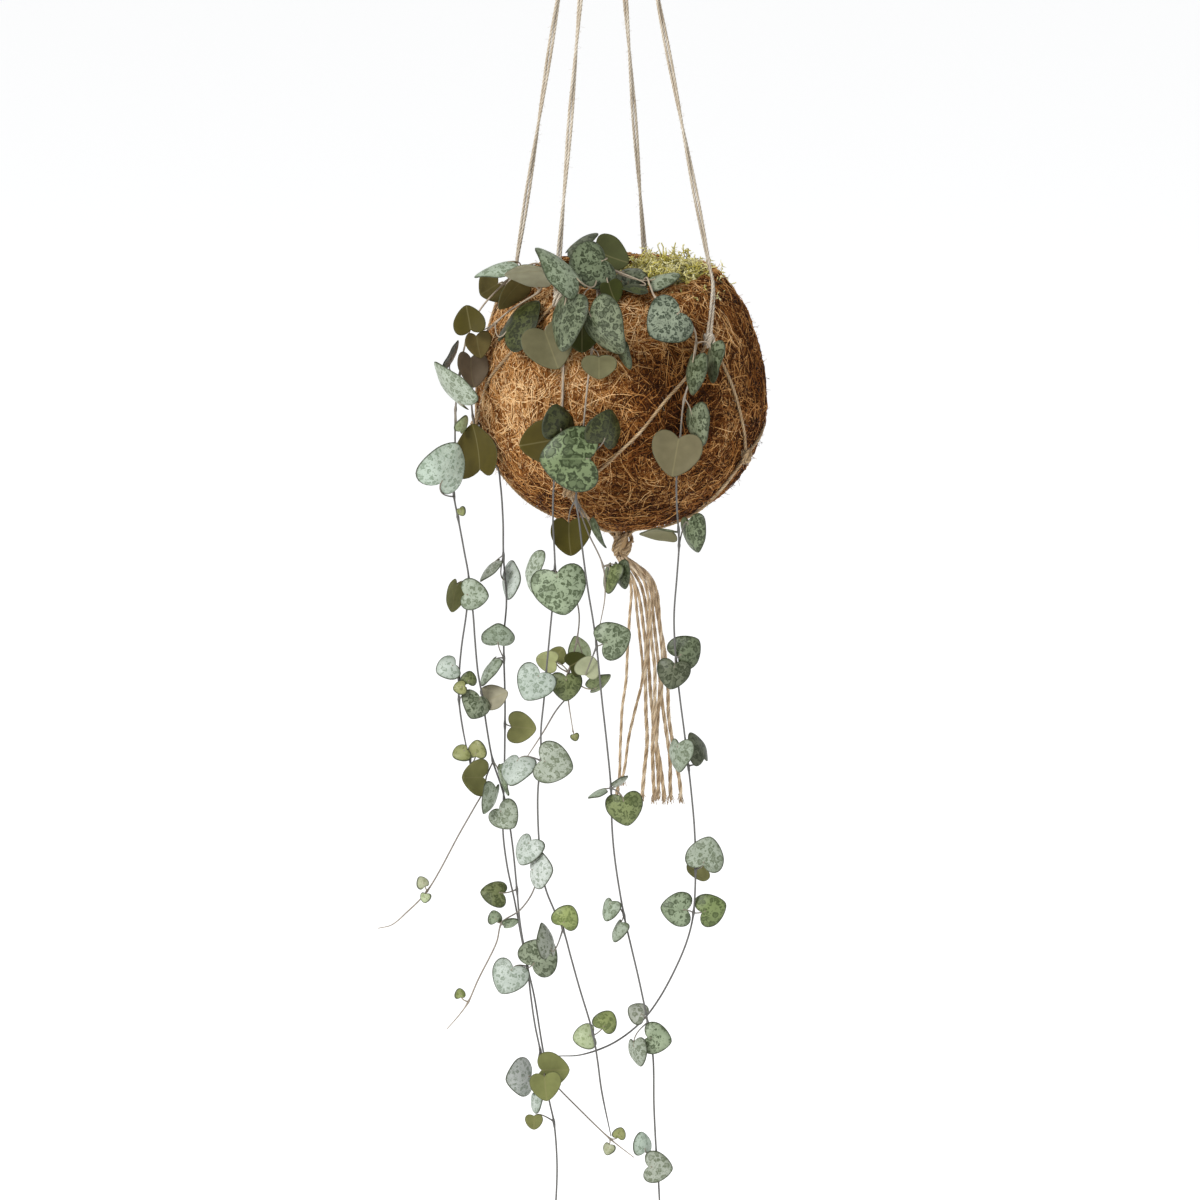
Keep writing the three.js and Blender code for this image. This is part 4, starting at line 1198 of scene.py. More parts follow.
@dataclass(frozen=True)
class Sprigs:
    """Small leafy sprigs that stand on a surface."""

    name: str
    density: float  # sprigs per square millimetre
    shortest: float
    longest: float
    lean: float
    seed: int

    stalk = ((0.0, 0.0, 0.0), (0.03, 0.02, 0.4), (0.2, -0.02, 0.75), (0.46, 0.05, 0.82))
    leaflets = 11

    def sprig(self, material: Material) -> Object:
        """Makes one sprig, 1 metre long: a stalk that curls over, with small leaflets all round.

        Args:
            material: What it is made of.

        Returns:
            The sprig.
        """
        shape = Shape()
        bow = smooth(self.stalk, 0.16)
        points, faces = tube(bow / MM, circle(3), np.linspace(0.03, 0.012, len(bow)) / MM)
        shares = np.repeat(np.linspace(0, 1, len(bow)), 3)[:, None]
        shape.add(points, faces, rise=np.repeat(shares, 3, axis=1))
        for index in range(self.leaflets):
            turn, share = 2.4 * index, 0.2 + 0.076 * index
            base = np.array([np.interp(share, np.linspace(0, 1, len(bow)), bow[:, axis])
                             for axis in range(3)])
            way = np.array((math.cos(turn), math.sin(turn), 0.55))
            side = np.array((-math.sin(turn), math.cos(turn), 0.0)) * 0.04
            reach = 0.24 - 0.09 * share
            middle = base + way * reach * 0.45
            keel = middle - np.array((0.0, 0.0, 0.03))
            corners = np.array((base, middle + side, middle - side, base + way * reach, keel)) / MM
            shape.add(corners, [(0, 1, 2), (1, 3, 2), (0, 4, 1), (1, 4, 3), (3, 4, 2), (2, 4, 0)],
                      rise=np.full(3, share))
        return shape.build("sprig", [material])

    def grow(self, carrier: Object, material: Material) -> Object:
        """Plants the sprigs.

        Args:
            carrier: The surface that they stand on.
            material: What they are made of.

        Returns:
            The sprigs, as one plain mesh.
        """
        sprig = self.sprig(material)
        growth = Growth(self.name)
        seed = self.seed
        spread, marked = growth.scatter(self.density, seed)
        model = growth.node("GeometryNodeObjectInfo", {"Object": growth.size("Sprig", sprig)})
        turn = growth.leaned(growth.spun(spread, seed + 2), 0, self.lean, seed + 3)
        stood = growth.node("GeometryNodeInstanceOnPoints",
                            {"Points": marked, "Instance": (model, "Geometry"), "Rotation": turn,
                             "Scale": growth.lengths(self.shortest, self.longest, seed + 4)})
        growth.finish(stood, material)
        grown = growth.grow(carrier)
        bpy.data.objects.remove(sprig)
        return grown


# ------------------------------------------------------------------ twine


@dataclass(frozen=True)
class Twine:
    """A strand of twine, two or three plies turned round each other."""

    radius: float = 0.65
    plies: int = 3
    pitch: float = 5.5  # length of one turn of the plies
    step: float = 0.7
    sides: int = 12
    groove: float = 0.2  # depth between two plies, as a share of the radius
    flank: float = 0.7  # how steeply a ply falls off to the groove
    painted_groove_shade: float = 0.75  # how dark the painted shade at the bottom of a groove is
    pair_radius: float = 0.61  # radius of each of two strands pulled tight side by side
    pair_pitch: float = 120.0  # length of one turn of two strands round each other
    pair_gap: float = 1.05  # from the pair's middle to each strand's, in strand radii

    def lay(self, shape: Shape, path: np.ndarray, radius: np.ndarray | float | None = None
            ) -> None:
        """Adds one strand.

        Args:
            shape: The piece that it belongs to.
            path: The points that it follows.
            radius: Its radius where it isn't the usual one.
        """
        turns = np.linspace(0, 2 * math.pi, self.sides, endpoint=False)
        crown = np.abs(np.cos(self.plies / 2 * turns)) ** self.flank
        outline = circle(self.sides) * (1 - self.groove + self.groove * crown)[:, None]
        along = travel(path)
        points, faces = tube(path, outline, self.radius if radius is None else radius,
                             2 * math.pi * along / self.pitch)
        lay = np.empty((len(path), self.sides, 3))
        lay[..., 0] = turns * self.radius + path[0, 0]
        lay[..., 1] = along[:, None] + 7.3 * path[0, 2]
        lay[..., 2] = (1 - crown) * self.painted_groove_shade
        shape.add(points, faces, lay=lay.reshape(-1, 3))

    def lay_pair(self, shape: Shape, path: np.ndarray) -> None:
        """Adds two strands turned loosely round each other.

        Args:
            shape: The piece that they belong to.
            path: The middle of the pair.
        """
        right, up = frames_along(path)
        turn = 2 * math.pi * travel(path)[:, None] / self.pair_pitch + path[0, 0]
        for start in (0.0, math.pi):
            aside = right * np.cos(turn + start) + up * np.sin(turn + start)
            self.lay(shape, path + aside * self.pair_radius * self.pair_gap, self.pair_radius)


class Tie(Enum):
    """How a knot is tied."""

    OVERHAND = "overhand"
    GATHERED = "gathered"


@dataclass(frozen=True)
class Knot:
    """A knot in the twine: a round, squat or tall lump of crossing turns."""

    centre: np.ndarray
    radius: float
    height: float
    tie: Tie = Tie.OVERHAND

    def turns(self, twine: Twine) -> np.ndarray:
        """Draws the line that the knot's outer turns follow.

        Args:
            twine: What it is tied from.

        Returns:
            The points of the line.
        """
        reach = self.radius - 1.3 * twine.radius
        tall = self.height / 2 - (1.3 if self.tie is Tie.OVERHAND else 1.0) * twine.radius
        if self.tie is Tie.OVERHAND:
            share = np.linspace(0, 2 * math.pi, 90)
            out = reach * (0.62 + 0.38 * np.cos(3 * share))
            line = np.stack((out * np.cos(2 * share), out * np.sin(2 * share),
                             tall * np.sin(3 * share)), axis=1)
        else:
            rise = np.linspace(-1, 1, 260)
            turn = math.pi * rise * tall / (1.04 * twine.radius)
            out = reach * (0.72 + 0.28 * np.sqrt(np.clip(1 - rise**2, 0, 1)))
            line = np.stack((out * np.cos(turn), out * np.sin(turn), rise * tall), axis=1)
        return smooth(line + self.centre, twine.step)

    def edge(self, towards: np.ndarray) -> np.ndarray:
        """The point where a cord that comes from another point reaches the knot."""
        way = towards - self.centre
        way = way / np.linalg.norm(way)
        wide = math.hypot(way[0], way[1]) / self.radius
        return self.centre + way * (0.9 / math.hypot(wide, way[2] / (self.height / 2)))

    def shape(self, twine: Twine) -> Shape:
        """Ties the knot.

        Args:
            twine: What it is tied from.

        Returns:
            Its mesh.
        """
        shape = Shape()
        line = self.turns(twine)
        if self.tie is Tie.OVERHAND:
            twine.lay_pair(shape, line)
        else:
            twine.lay(shape, line)
        rise = np.linspace(-1, 1, 9)[:, None]
        core = self.centre + rise * np.array((0.0, 0.0, self.height * 0.42))
        girth = 0.62 * self.radius * np.sqrt(1.02 - rise[:, 0] ** 2)
        shape.add(*tube(core, circle(12), girth))
        return shape


@dataclass
class Hanger:
    """The twine hanger: loop, knots, four doubled cords, the net on the ball and the tassel."""

    jute: Material
    shade_darkened: Material  # jute that lies on the coir and under the ball: darker and browner, as painted shade
    loose: Material  # jute that has come untwisted
    twine: Twine = Twine()
    untwisted: Twine = Twine(radius=0.78, plies=2, pitch=12.0, groove=0.32)
    thick: Twine = Twine(radius=1.0, pitch=7.0, pair_radius=0.95)  # several strands together
    parting: float = -37.4  # where the cords leave the top knot
    parting_ring: float = 3.2
    rim_bend: float = 50.0  # height of the cords' bend over the rim
    rim_angles: tuple[float, ...] = (175, 233, 77, -33)
    pair_lift: float = 1.0  # from the coir to the middle of a doubled cord
    strand_lift: float = 0.7
    bottom_lift: float = 0.5  # the cords under the ball are pulled into the coir
    shoulder: tuple[float, float] = (2.4, 6.5)  # radius and height of the shoulder knots
    lower: tuple[float, float] = (2.3, 6.0)
    knot_lift: float = 2.5
    tassel_ring: float = 1.7  # where the tassel's strands leave the bottom knot
    crimps: tuple[tuple[float, float], ...] = ((42, 0.42), (19, 0.1))  # length, height of bends
    frays: int = 16  # loose fibres at the cut end of a strand
    fray_lengths: tuple[float, float] = (2.4, 4.6)
    fray_spread: float = 0.16  # how far a loose fibre splays, to its length
    fray_radius: float = 0.14
    knots: dict[str, Knot] = field(default_factory=dict)
    pieces: list[Object] = field(default_factory=list)

    def __post_init__(self) -> None:
        """Places the knots."""
        spots = {
            "shoulder_knot_1": BALL.round(175, 44, self.knot_lift),
            "shoulder_knot_2": BALL.front(-18.4, 218, self.knot_lift),
            "shoulder_knot_3": BALL.round(77, 42, self.knot_lift),
            "shoulder_knot_4": BALL.front(42, 234, self.knot_lift),
            "lower_knot_left": BALL.round(187, -10, self.knot_lift),
            "lower_knot_front": BALL.front(-14.4, 294, self.knot_lift),
            "lower_knot_right": BALL.front(56.8, 280.5, self.knot_lift),
            "lower_knot_back": BALL.round(125, -12, self.knot_lift),
        }
        for name, spot in spots.items():
            size = self.shoulder if name.startswith("shoulder") else self.lower
            self.knots[name] = Knot(spot, *size)
        self.knots["top_knot"] = Knot(np.array((0.0, 0.0, -32.0)), 5.6, 14.0, Tie.GATHERED)
        self.knots["bottom_knot"] = Knot(SIGHT.seen(6.8, 315, 0), 4.6, 11.0)

    def piece(self, shape: Shape, node: str, jute: Material | None = None) -> Object:
        """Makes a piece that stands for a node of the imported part.

        Args:
            shape: Its mesh.
            node: The node's name.
            jute: What it is made of, where that isn't the clean jute.

        Returns:
            The piece.
        """
        made = shape.build(f"{node}_twine", [jute or self.jute])
        self.pieces.append(fit(made, node))
        return made

    def declare(self, made: Object, path: np.ndarray) -> None:
        """Logs the length of a free cord.

        Args:
            made: The piece.
            path: Its centreline.
        """
        length = float(travel(path)[-1]) * MM
        LOG.info("%s: %.0f mm long", made.name, length / MM)

    def cords(self) -> None:
        """Makes the four doubled cords, from the top knot over the rim to the shoulder knots."""
        for index, angle in enumerate(self.rim_angles):
            bend = BALL.round(angle, self.rim_bend, self.pair_lift)
            start = np.array((bend[0], bend[1], 0.0))
            start *= self.parting_ring / np.linalg.norm(start)
            start[2] = self.parting
            straight = [start + (bend - start) * share for share in (0, 0.25, 0.5, 0.75, 0.96)]
            knot = self.knots[f"shoulder_knot_{index + 1}"]
            path = smooth([*straight, bend, knot.edge(bend)], self.twine.step)
            shape = Shape()
            self.twine.lay_pair(shape, path)
            made = self.piece(shape, f"hanger_cord_{index + 1}")
            self.declare(made, path)

    def tassel(self) -> None:
        """Makes the eight loose strands under the bottom knot, each with a frayed end."""
        knot = self.knots["bottom_knot"]
        chance = np.random.default_rng(11)
        frays = Shape()
        for index, (turn, hang) in enumerate(TASSEL):
            angle = math.radians(turn)
            start = knot.centre + np.array((self.tassel_ring * math.cos(angle),
                                            self.tassel_ring * math.sin(angle), -knot.height / 2))
            path = smooth([start, *(SIGHT.seen(*place) for place in hang)], self.twine.step)
            path = self.crimped(path, chance)
            shape = Shape()
            ends = (0.82, 0.82) if index < 2 else (0.9, 1.12)
            girth = self.untwisted.radius * np.linspace(*ends, len(path))
            girth[-4:] *= (0.97, 0.9, 0.8, 0.6)
            self.untwisted.lay(shape, path, girth)
            for _ in range(self.frays):
                way = np.array((*chance.normal(0, self.fray_spread, 2), -1.0))
                foot = path[-5] + np.array((*chance.normal(0, 0.3, 2), 0.0))
                tip = foot + way * chance.uniform(*self.fray_lengths)
                bow = (foot + tip) / 2 + np.array((*chance.normal(0, 0.2, 2), 0.0))
                line = smooth([foot, bow, tip], 0.8)
                points, faces = tube(line, circle(4), self.fray_radius)
                # the frays are mixed 0.45 of the way to the groove colour, the twine's painted
                # shade
                frays.add(points, faces, lay=np.array((chance.uniform(0, 9), 0.0, 0.45)))
            made = self.piece(shape, f"tassel_strand_{index + 1}", self.loose)
            self.declare(made, path)
        fit(frays.build("tassel_frays", [self.loose]))

    def crimped(self, path: np.ndarray, chance: np.random.Generator) -> np.ndarray:
        """Bends a hanging strand this way and that, as twine that has been tied keeps its kinks.

        Args:
            path: Its points.
            chance: What the bends are drawn from.

        Returns:
            The bent line's points.
        """
        along = travel(path)
        bent = path.copy()
        for axis in (0, 1):
            for length, far in self.crimps:
                phase = chance.uniform(0, 2 * math.pi)
                bent[:, axis] += far * np.sin(2 * math.pi * along / length + phase)
        return path + (bent - path) * np.clip(along / 12, 0, 1)[:, None]

    def strand(self, node: str, knots: tuple[str, str], between: Sequence[np.ndarray],
               doubled: bool) -> None:
        """Makes a cord between two knots.

        Args:
            node: The node that it stands for.
            knots: The two knots' names.
            between: The points that it passes between them.
            doubled: Whether it is two strands.
        """
        first, last = (self.knots[name] for name in knots)
        ends = (first.edge(between[0]), last.edge(between[-1]))
        path = smooth([ends[0], *between, ends[1]], self.twine.step)
        shape = Shape()
        if doubled:
            self.twine.lay_pair(shape, path)
        else:
            self.twine.lay(shape, path)
        # painted shade: the net and bottom cords take the darker jute
        self.piece(shape, node, self.shade_darkened)

    def net(self) -> None:
        """Makes the eight single strands that lie on the coir between the knots."""
        for index, (first, last, spots) in enumerate(NET):
            between = [
                BALL.round(a, b, self.strand_lift) if way == "round"
                else BALL.front(a, b, self.strand_lift)
                for way, a, b in spots
            ]
            self.strand(f"net_strand_{index + 1}", (first, last), between, doubled=False)

    def bottom_cords(self) -> None:
        """Makes the four doubled cords under the ball."""
        pole = np.array((BALL.x, 0.0, BALL.z - BALL.lower - self.bottom_lift))
        for side in ("left", "front", "right", "back"):
            centre = self.knots[f"lower_knot_{side}"].centre
            angle = math.degrees(math.atan2(centre[1], centre[0] - BALL.x))
            start = math.asin((BALL.z - centre[2]) / (BALL.lower + self.knot_lift))
            spots = [
                BALL.round(angle, -BALL.lower * math.sin(start + share * (math.pi / 2 - start)),
                           self.bottom_lift)
                for share in (0.25, 0.5, 0.75)
            ]
            near_pole = spots[-1] + 0.7 * (pole - spots[-1])
            near_pole[2] = pole[2]
            self.strand(f"bottom_cord_{side}", (f"lower_knot_{side}", "bottom_knot"),
                        [*spots, near_pole], doubled=True)

    def loop(self) -> None:
        """Makes the loop that hangs on a hook."""
        half = ((5.25, -1.4), (7.5, -10.0), (4.4, -22.6), (1.9, -27.0))
        right = [np.array((x, 0.0, z)) for x, z in half]
        left = [point * (-1, 1, 1) for point in reversed(right)]
        path = smooth([*left, np.array((0.0, 0.0, 1.2)), *right], self.twine.step)
        shape = Shape()
        self.twine.lay_pair(shape, path)
        self.piece(shape, "hanging_loop")

    def tie(self) -> None:
        """Makes the knots."""
        for name, knot in self.knots.items():
            # painted shade: the knots under the ball take the darker jute
            in_shade = name.startswith(("lower", "bottom"))
            twine = self.thick if name == "bottom_knot" else self.twine
            self.piece(knot.shape(twine), name, self.shade_darkened if in_shade else self.jute)

    def fuzz(self) -> None:
        """Grows the short hairs of the jute on all of the twine."""
        joined = bmesh.new()
        for made in self.pieces:
            joined.from_mesh(made.data)
        mesh = bpy.data.meshes.new("all twine")
        joined.to_mesh(mesh)
        joined.free()
        carrier = add_object("all twine", mesh)
        hairs = Hairs("twine_fuzz", density=0.2, shortest=0.6, longest=1.8, thickness=0.04,
                      lean=78, curl=0.6, segments=4, seed=5)
        fit(hairs.grow(carrier, self.jute))
        bpy.data.objects.remove(carrier)

    def build(self) -> None:
        """Makes the whole hanger."""
        self.cords()
        self.tassel()
        self.loop()
        self.tie()
        self.net()
        self.bottom_cords()
        self.fuzz()
        LOG.info("hanger: %d pieces of twine", len(self.pieces))


# ------------------------------------------------------------------ ball


@dataclass
class Kokedama:
    """The ball: a coir wrap, open at the top, round a core of soil with a moss cushion."""

    lump: float = 0.7  # height of the wrap's unevenness
    segments: int = 168
    moss_x: float = 24.5
    moss_y: float = 1.0
    moss_wide: float = 16.5
    moss_deep: float = 29.0
    moss_height: float = 13.0
    moss_base: float = 6.5  # height of the moss that is sprigs and not mound

    def wrap(self, coir: CoirFibre) -> None:
        """Makes the coir: a lumpy shell, three layers of fibres on it and loose ends.

        Args:
            coir: The coir's finish.
        """
        outer = BALL.outline(0.4, BALL.rim, 80)
        inner = BALL.outline(BALL.wall, BALL.rim, 80)
        inner = inner[inner[:, 1] > BALL.soil_top - 3][::-1]
        lip = np.array([outer[-1] + (inner[0] - outer[-1]) * share + (0, 0.5)
                        for share in (0.3, 0.7)])
        under = BALL.outline(BALL.wall, BALL.soil_top - 3, 30)[::-1]
        points, faces = turned(np.vstack((outer, lip, inner, under)), self.segments)
        away = points - np.array((BALL.x, 0.0, BALL.z))
        away /= np.linalg.norm(away, axis=1, keepdims=True)
        swell = self.lump * (0.7 * ripple(points, 16, 3) + 0.3 * ripple(points, 6, 4))
        shape = Shape()
        shape.add(points + away * swell[:, None] * 0.6, faces)
        ball = fit(shape.build("coir_ball", [coir.mat()], merge=0.01), "coir_wrap")
        skin = self.skin(ball)
        fibre = coir.material()
        for layer in (
            FibreMat("coir_fibres_fine", density=0.135, shortest=7, longest=16, thickness=0.13,
                     wander=2.4, lift=0.45, segments=6, seed=20),
            FibreMat("coir_fibres_cross", density=0.11, shortest=10, longest=24, thickness=0.16,
                     wander=4.0, lift=0.75, segments=8, seed=40),
            FibreMat("coir_fibres_long", density=0.05, shortest=24, longest=48, thickness=0.17,
                     wander=9.0, lift=1.1, segments=16, seed=60),
            Hairs("coir_loose_ends", density=0.05, shortest=1.2, longest=4, thickness=0.08,
                  lean=86, curl=1.5, segments=6, seed=80, swell=4.0),
        ):
            fit(layer.grow(skin, fibre))
        bpy.data.objects.remove(skin)

    def skin(self, ball: Object) -> Object:
        """Copies the outside of the ball.

        Args:
            ball: The ball.

        Returns:
            Its faces that look outwards, above and round it, as an object to be removed.
        """
        open_mesh = bmesh.new()
        open_mesh.from_mesh(ball.data)
        middle = np.array((BALL.x, 0.0, BALL.z)) * MM
        hidden = []
        for face in open_mesh.faces:
            centre = np.array(face.calc_center_median()) - middle
            if np.dot(centre, np.array(face.normal)) < 0.002:
                hidden.append(face)
        bmesh.ops.delete(open_mesh, geom=hidden, context="FACES")
        mesh = bpy.data.meshes.new("coir skin")
        open_mesh.to_mesh(mesh)
        open_mesh.free()
        return add_object("coir skin", mesh)

    def soil(self) -> None:
        """Makes the soil: a crumbly bed that sinks a little towards the front."""
        wall = BALL.outline(BALL.wall + 0.6, BALL.soil_top, 20)
        bed = np.array([(wall[-1, 0] * share, BALL.soil_top)
                        for share in np.linspace(0.97, 0, 26)])
        points, faces = turned(np.vstack((wall, bed)), 120)
        top = points[:, 2] > BALL.z + BALL.soil_top - BALL.rim_dip - 1
        crumbs = ripple(points, 4, 8) + 0.6 * ripple(points, 2.2, 9)
        points[:, 2] += np.where(top, 0.5 * crumbs - 0.4, 0)
        shape = Shape()
        shape.add(points, faces)
        made = shape.build("soil_bed", [PottingSoil().material()], merge=0.01)
        fit(made, "soil_core")

    def moss_rise(self, x: np.ndarray, y: np.ndarray) -> np.ndarray:
        """How high the moss stands on the soil."""
        reach = np.hypot((x - self.moss_x) / self.moss_wide, (y - self.moss_y) / self.moss_deep)
        lumps = 0.84 + 0.12 * np.sin(0.55 * x) * np.cos(0.47 * y) + 0.04 * np.sin(0.9 * y + x)
        return self.moss_height * lumps * np.sqrt(np.maximum(0, 1 - reach**2))

    def moss(self) -> None:
        """Makes the moss: a lumpy mound, sprigs all over it and loose curling tips."""
        rings, spokes = 18, 56
        shares = np.cos(np.linspace(0, math.pi / 2, rings))
        turns = np.linspace(0, 2 * math.pi, spokes, endpoint=False)
        x = self.moss_x + self.moss_wide * shares[:, None] * np.cos(turns)
        y = self.moss_y + self.moss_deep * shares[:, None] * np.sin(turns)
        floor = BALL.z + BALL.soil_top + 0.3 - BALL.dip(y, np.full(y.shape, BALL.soil_top))
        rise = self.moss_rise(x, y)
        rise[0] = 0
        foot = np.stack((x[:1], y[:1], floor[:1]), axis=-1)
        centre = np.broadcast_to(foot.mean(axis=1, keepdims=True), foot.shape)
        dome = np.stack((x, y, floor + rise), axis=-1)
        points = np.concatenate((centre, dome)).reshape(-1, 3)
        points[spokes:, 2] -= self.moss_base * (rise / self.moss_height).ravel()
        points[2 * spokes:] += 0.35 * ripple(points[2 * spokes:], 3, 15)[:, None] * (0, 0, 1)
        green = Moss().material()
        shape = Shape()
        shape.add(points, grid_faces(rings + 1, spokes, closed=True))
        mound = fit(shape.build("moss_mound", [green], merge=0.01), "moss_cushion")
        for layer in (
            Sprigs("moss_sprigs", density=0.2, shortest=5, longest=12.5, lean=70, seed=31),
            Hairs("moss_tips", density=0.04, shortest=6, longest=13, thickness=0.3, lean=60,
                  curl=4.0, segments=10, seed=37),
        ):
            fit(layer.grow(mound, green))

    def build(self) -> None:
        """Makes the whole ball."""
        self.wrap(CoirFibre())
        self.soil()
        self.moss()


# ------------------------------------------------------------------ plant


@dataclass(frozen=True)
class Stem:
    """A stem with what grows from it: places from its root or parent stem to its tip, each
    with the leaves that grow there."""

    places: tuple[tuple[Any, ...], ...]
    root: tuple[float, float] | None = None  # where it comes out of the soil
    radius: float = 0.6


@dataclass(frozen=True)
class Leaf:
    """A heart-shaped blade, folded along its midrib, on its petiole."""

    across: float
    drop: float
    depth: float | None
    width: float
    clock: float
    lean: float
    roll: float
    tone: Tone

    rings = np.array((0.0, 0.3, 0.55, 0.76, 0.9, 0.97, 1.0))  # from the midrib to the edge
    thickness = 0.8
    lift = 6.0  # from the coir to a blade that lies on the ball
    grown = 12  # width from which a blade is a full heart with a deep notch
    middle = 0.3  # from the notch to the blade's middle, as a share of its width
    fold = 0.13
    droop = 0.1
    rib = 0.22  # depth of the groove over the midrib
    petiole = "#B9A58C"
    dulls = (0.86, 1.08)  # how much one leaf is darker or lighter than the next
    greens = (0.92, 1.06)

    def outline(self) -> np.ndarray:
        """Draws half of the blade's outline, for a width of 1.

        Returns:
            Rows of across and along, from the notch to the tip.
        """
        if self.width < self.grown:
            half = ((0, 0), (0.08, -0.04), (0.2, -0.075), (0.34, -0.065), (0.45, 0.03),
                    (0.49, 0.17), (0.46, 0.34), (0.37, 0.51), (0.24, 0.65), (0.09, 0.74),
                    (0, 0.755))
        else:
            half = ((0, 0), (0.06, -0.06), (0.18, -0.12), (0.34, -0.12), (0.455, -0.03),
                    (0.5, 0.12), (0.48, 0.29), (0.39, 0.46), (0.25, 0.62), (0.09, 0.735),
                    (0, 0.76))
        line = smooth([(x, y, 0.0) for x, y in half], 0.01)
        share = np.linspace(0, 1, 21)
        along = travel(line) / travel(line)[-1]
        return np.stack([np.interp(share, along, line[:, axis]) for axis in (0, 1)], axis=1)

    def frame(self) -> tuple[np.ndarray, np.ndarray, np.ndarray, np.ndarray]:
        """Finds how the blade lies.

        Returns:
            The notch's place, and the ways along the midrib, out of the upper face and across.
        """
        angle, tilt = math.radians(self.clock), math.radians(self.lean)
        flat = np.array((math.cos(angle), 0, 0)) + math.sin(angle) * SIGHT.up
        axis = flat * math.cos(tilt) + SIGHT.near * math.sin(tilt)
        normal = SIGHT.near - axis * np.dot(SIGHT.near, axis)
        normal /= np.linalg.norm(normal)
        turn = math.radians(self.roll)
        normal = normal * math.cos(turn) + np.cross(axis, normal) * math.sin(turn)
        spot = placed((self.across, self.drop, self.depth), self.lift)
        base = spot - axis * self.middle * self.width
        return base, axis, normal, np.cross(axis, normal)

    def surface(self, across: np.ndarray, along: np.ndarray, lift: np.ndarray) -> np.ndarray:
        """Finds points of the blade.

        Args:
            across: How far they lie from the midrib, in widths.
            along: How far they lie from the notch towards the tip, in widths.
            lift: How far above the underside they lie.

        Returns:
            The points.
        """
        base, axis, normal, side = self.frame()
        wave = np.random.default_rng(int(abs(self.across * 91 + self.drop * 7)))
        phases = wave.uniform(0, 2 * math.pi, 3)
        edge = np.clip(np.abs(across) * 2, 0, 1) ** 2
        wavy = 0.014 * np.sin(9 * along + phases[0]) * np.sign(across) * edge
        wavy = wavy + 0.012 * np.sin(7 * across + 5 * along + phases[1])
        bend = -self.fold * np.abs(2 * across) ** 1.4 - self.droop * 4 * (along - self.middle) ** 2
        bend = bend * wave.uniform(0.9, 1.15) + wavy
        flat = base + (axis * (along * self.width)[..., None]
                       + side * (across * self.width)[..., None])
        return flat + normal * (bend * self.width + lift)[..., None]

    def add_to(self, shape: Shape, start: np.ndarray, bark: np.ndarray) -> None:
        """Adds the blade and its petiole.

        Args:
            shape: The vine's mesh.
            start: Where the petiole leaves the stem.
            bark: The stem's colour there.
        """
        chance = np.random.default_rng(int(abs(self.across * 53 + self.drop * 11)))
        edge = self.outline()
        share = np.linspace(0, 1, len(edge))
        spine = edge[-1, 1] * share ** 1.15 * (1 - 0.08 * np.sin(math.pi * share))
        signed = np.concatenate((-self.rings[:0:-1], self.rings))
        across = edge[:, :1] * signed
        along = spine[:, None] + (edge[:, 1:] - spine[:, None]) * np.abs(signed)
        span = np.hypot(edge[:, 0], edge[:, 1] - spine)[:, None]
        rim = (1 - np.abs(signed)) * span * self.width
        pillow = 0.5 * self.thickness * (1 - np.abs(signed) ** 5) ** 0.5
        pillow = np.minimum(np.broadcast_to(pillow, across.shape),
                            0.5 * self.thickness * np.minimum(1, 0.35 + rim / 0.8))
        pillow = np.where(np.abs(signed) > 0.999, 0.0, pillow)
        groove = self.rib * np.exp(-((across * self.width / 0.5) ** 2))
        groove = groove * np.sin(math.pi * share)[:, None]
        middle = 0.5 * self.thickness
        faces = grid_faces(*across.shape)
        dull, bright = chance.uniform(*self.dulls), chance.uniform(*self.greens)
        tint = np.array((dull, bright * dull, dull))
        tone = self.tone.value
        spots = np.stack((across * self.width / tone.cell, along * self.width / tone.cell,
                          np.full(across.shape, tone.cover)), axis=-1).reshape(-1, 3)
        spots[:, :2] += chance.uniform(0, 90, 2)
        blade = np.stack((across * self.width, along * self.width, rim), axis=-1).reshape(-1, 3)
        upper = self.surface(across, along, middle + pillow - groove)
        lower = self.surface(across, along, middle - pillow - 0.6 * groove)
        shape.add(upper.reshape(-1, 3), [face[::-1] for face in faces], 0, blade=blade,
                  spots=spots, ground=rgb(tone.ground) * tint, marking=rgb(tone.marking) * tint)
        shape.add(lower.reshape(-1, 3), faces, 1, blade=blade, ground=rgb(tone.under) * tint)
        self.add_petiole(shape, start, bark)

    def add_petiole(self, shape: Shape, start: np.ndarray, bark: np.ndarray) -> None:
        """Adds the petiole, from the stem round into the notch along the midrib.

        Args:
            shape: The vine's mesh.
            start: Where it leaves the stem.
            bark: The stem's colour there.
        """
        base, axis, _, _ = self.frame()
        end = self.surface(np.array(0.0), np.array(1.6 / self.width), np.array(0.4))
        reach = float(np.linalg.norm(start - base))
        bend = base - axis * 0.35 * reach
        share = np.linspace(0, 1, 14)[:, None]
        path = (1 - share) ** 2 * start + 2 * share * (1 - share) * bend + share**2 * end
        girth = 0.27 + 0.16 * (2 * share[:, 0] - 1) ** 4
        points, faces = tube(path, circle(6), girth)
        fresh = rgb(self.tone.value.under) * 0.5 + rgb(self.petiole) * 0.5
        colour = bark + (fresh - bark) * 0.6 * share
        shape.add(points, faces, 2, ground=np.repeat(colour, 6, axis=0))


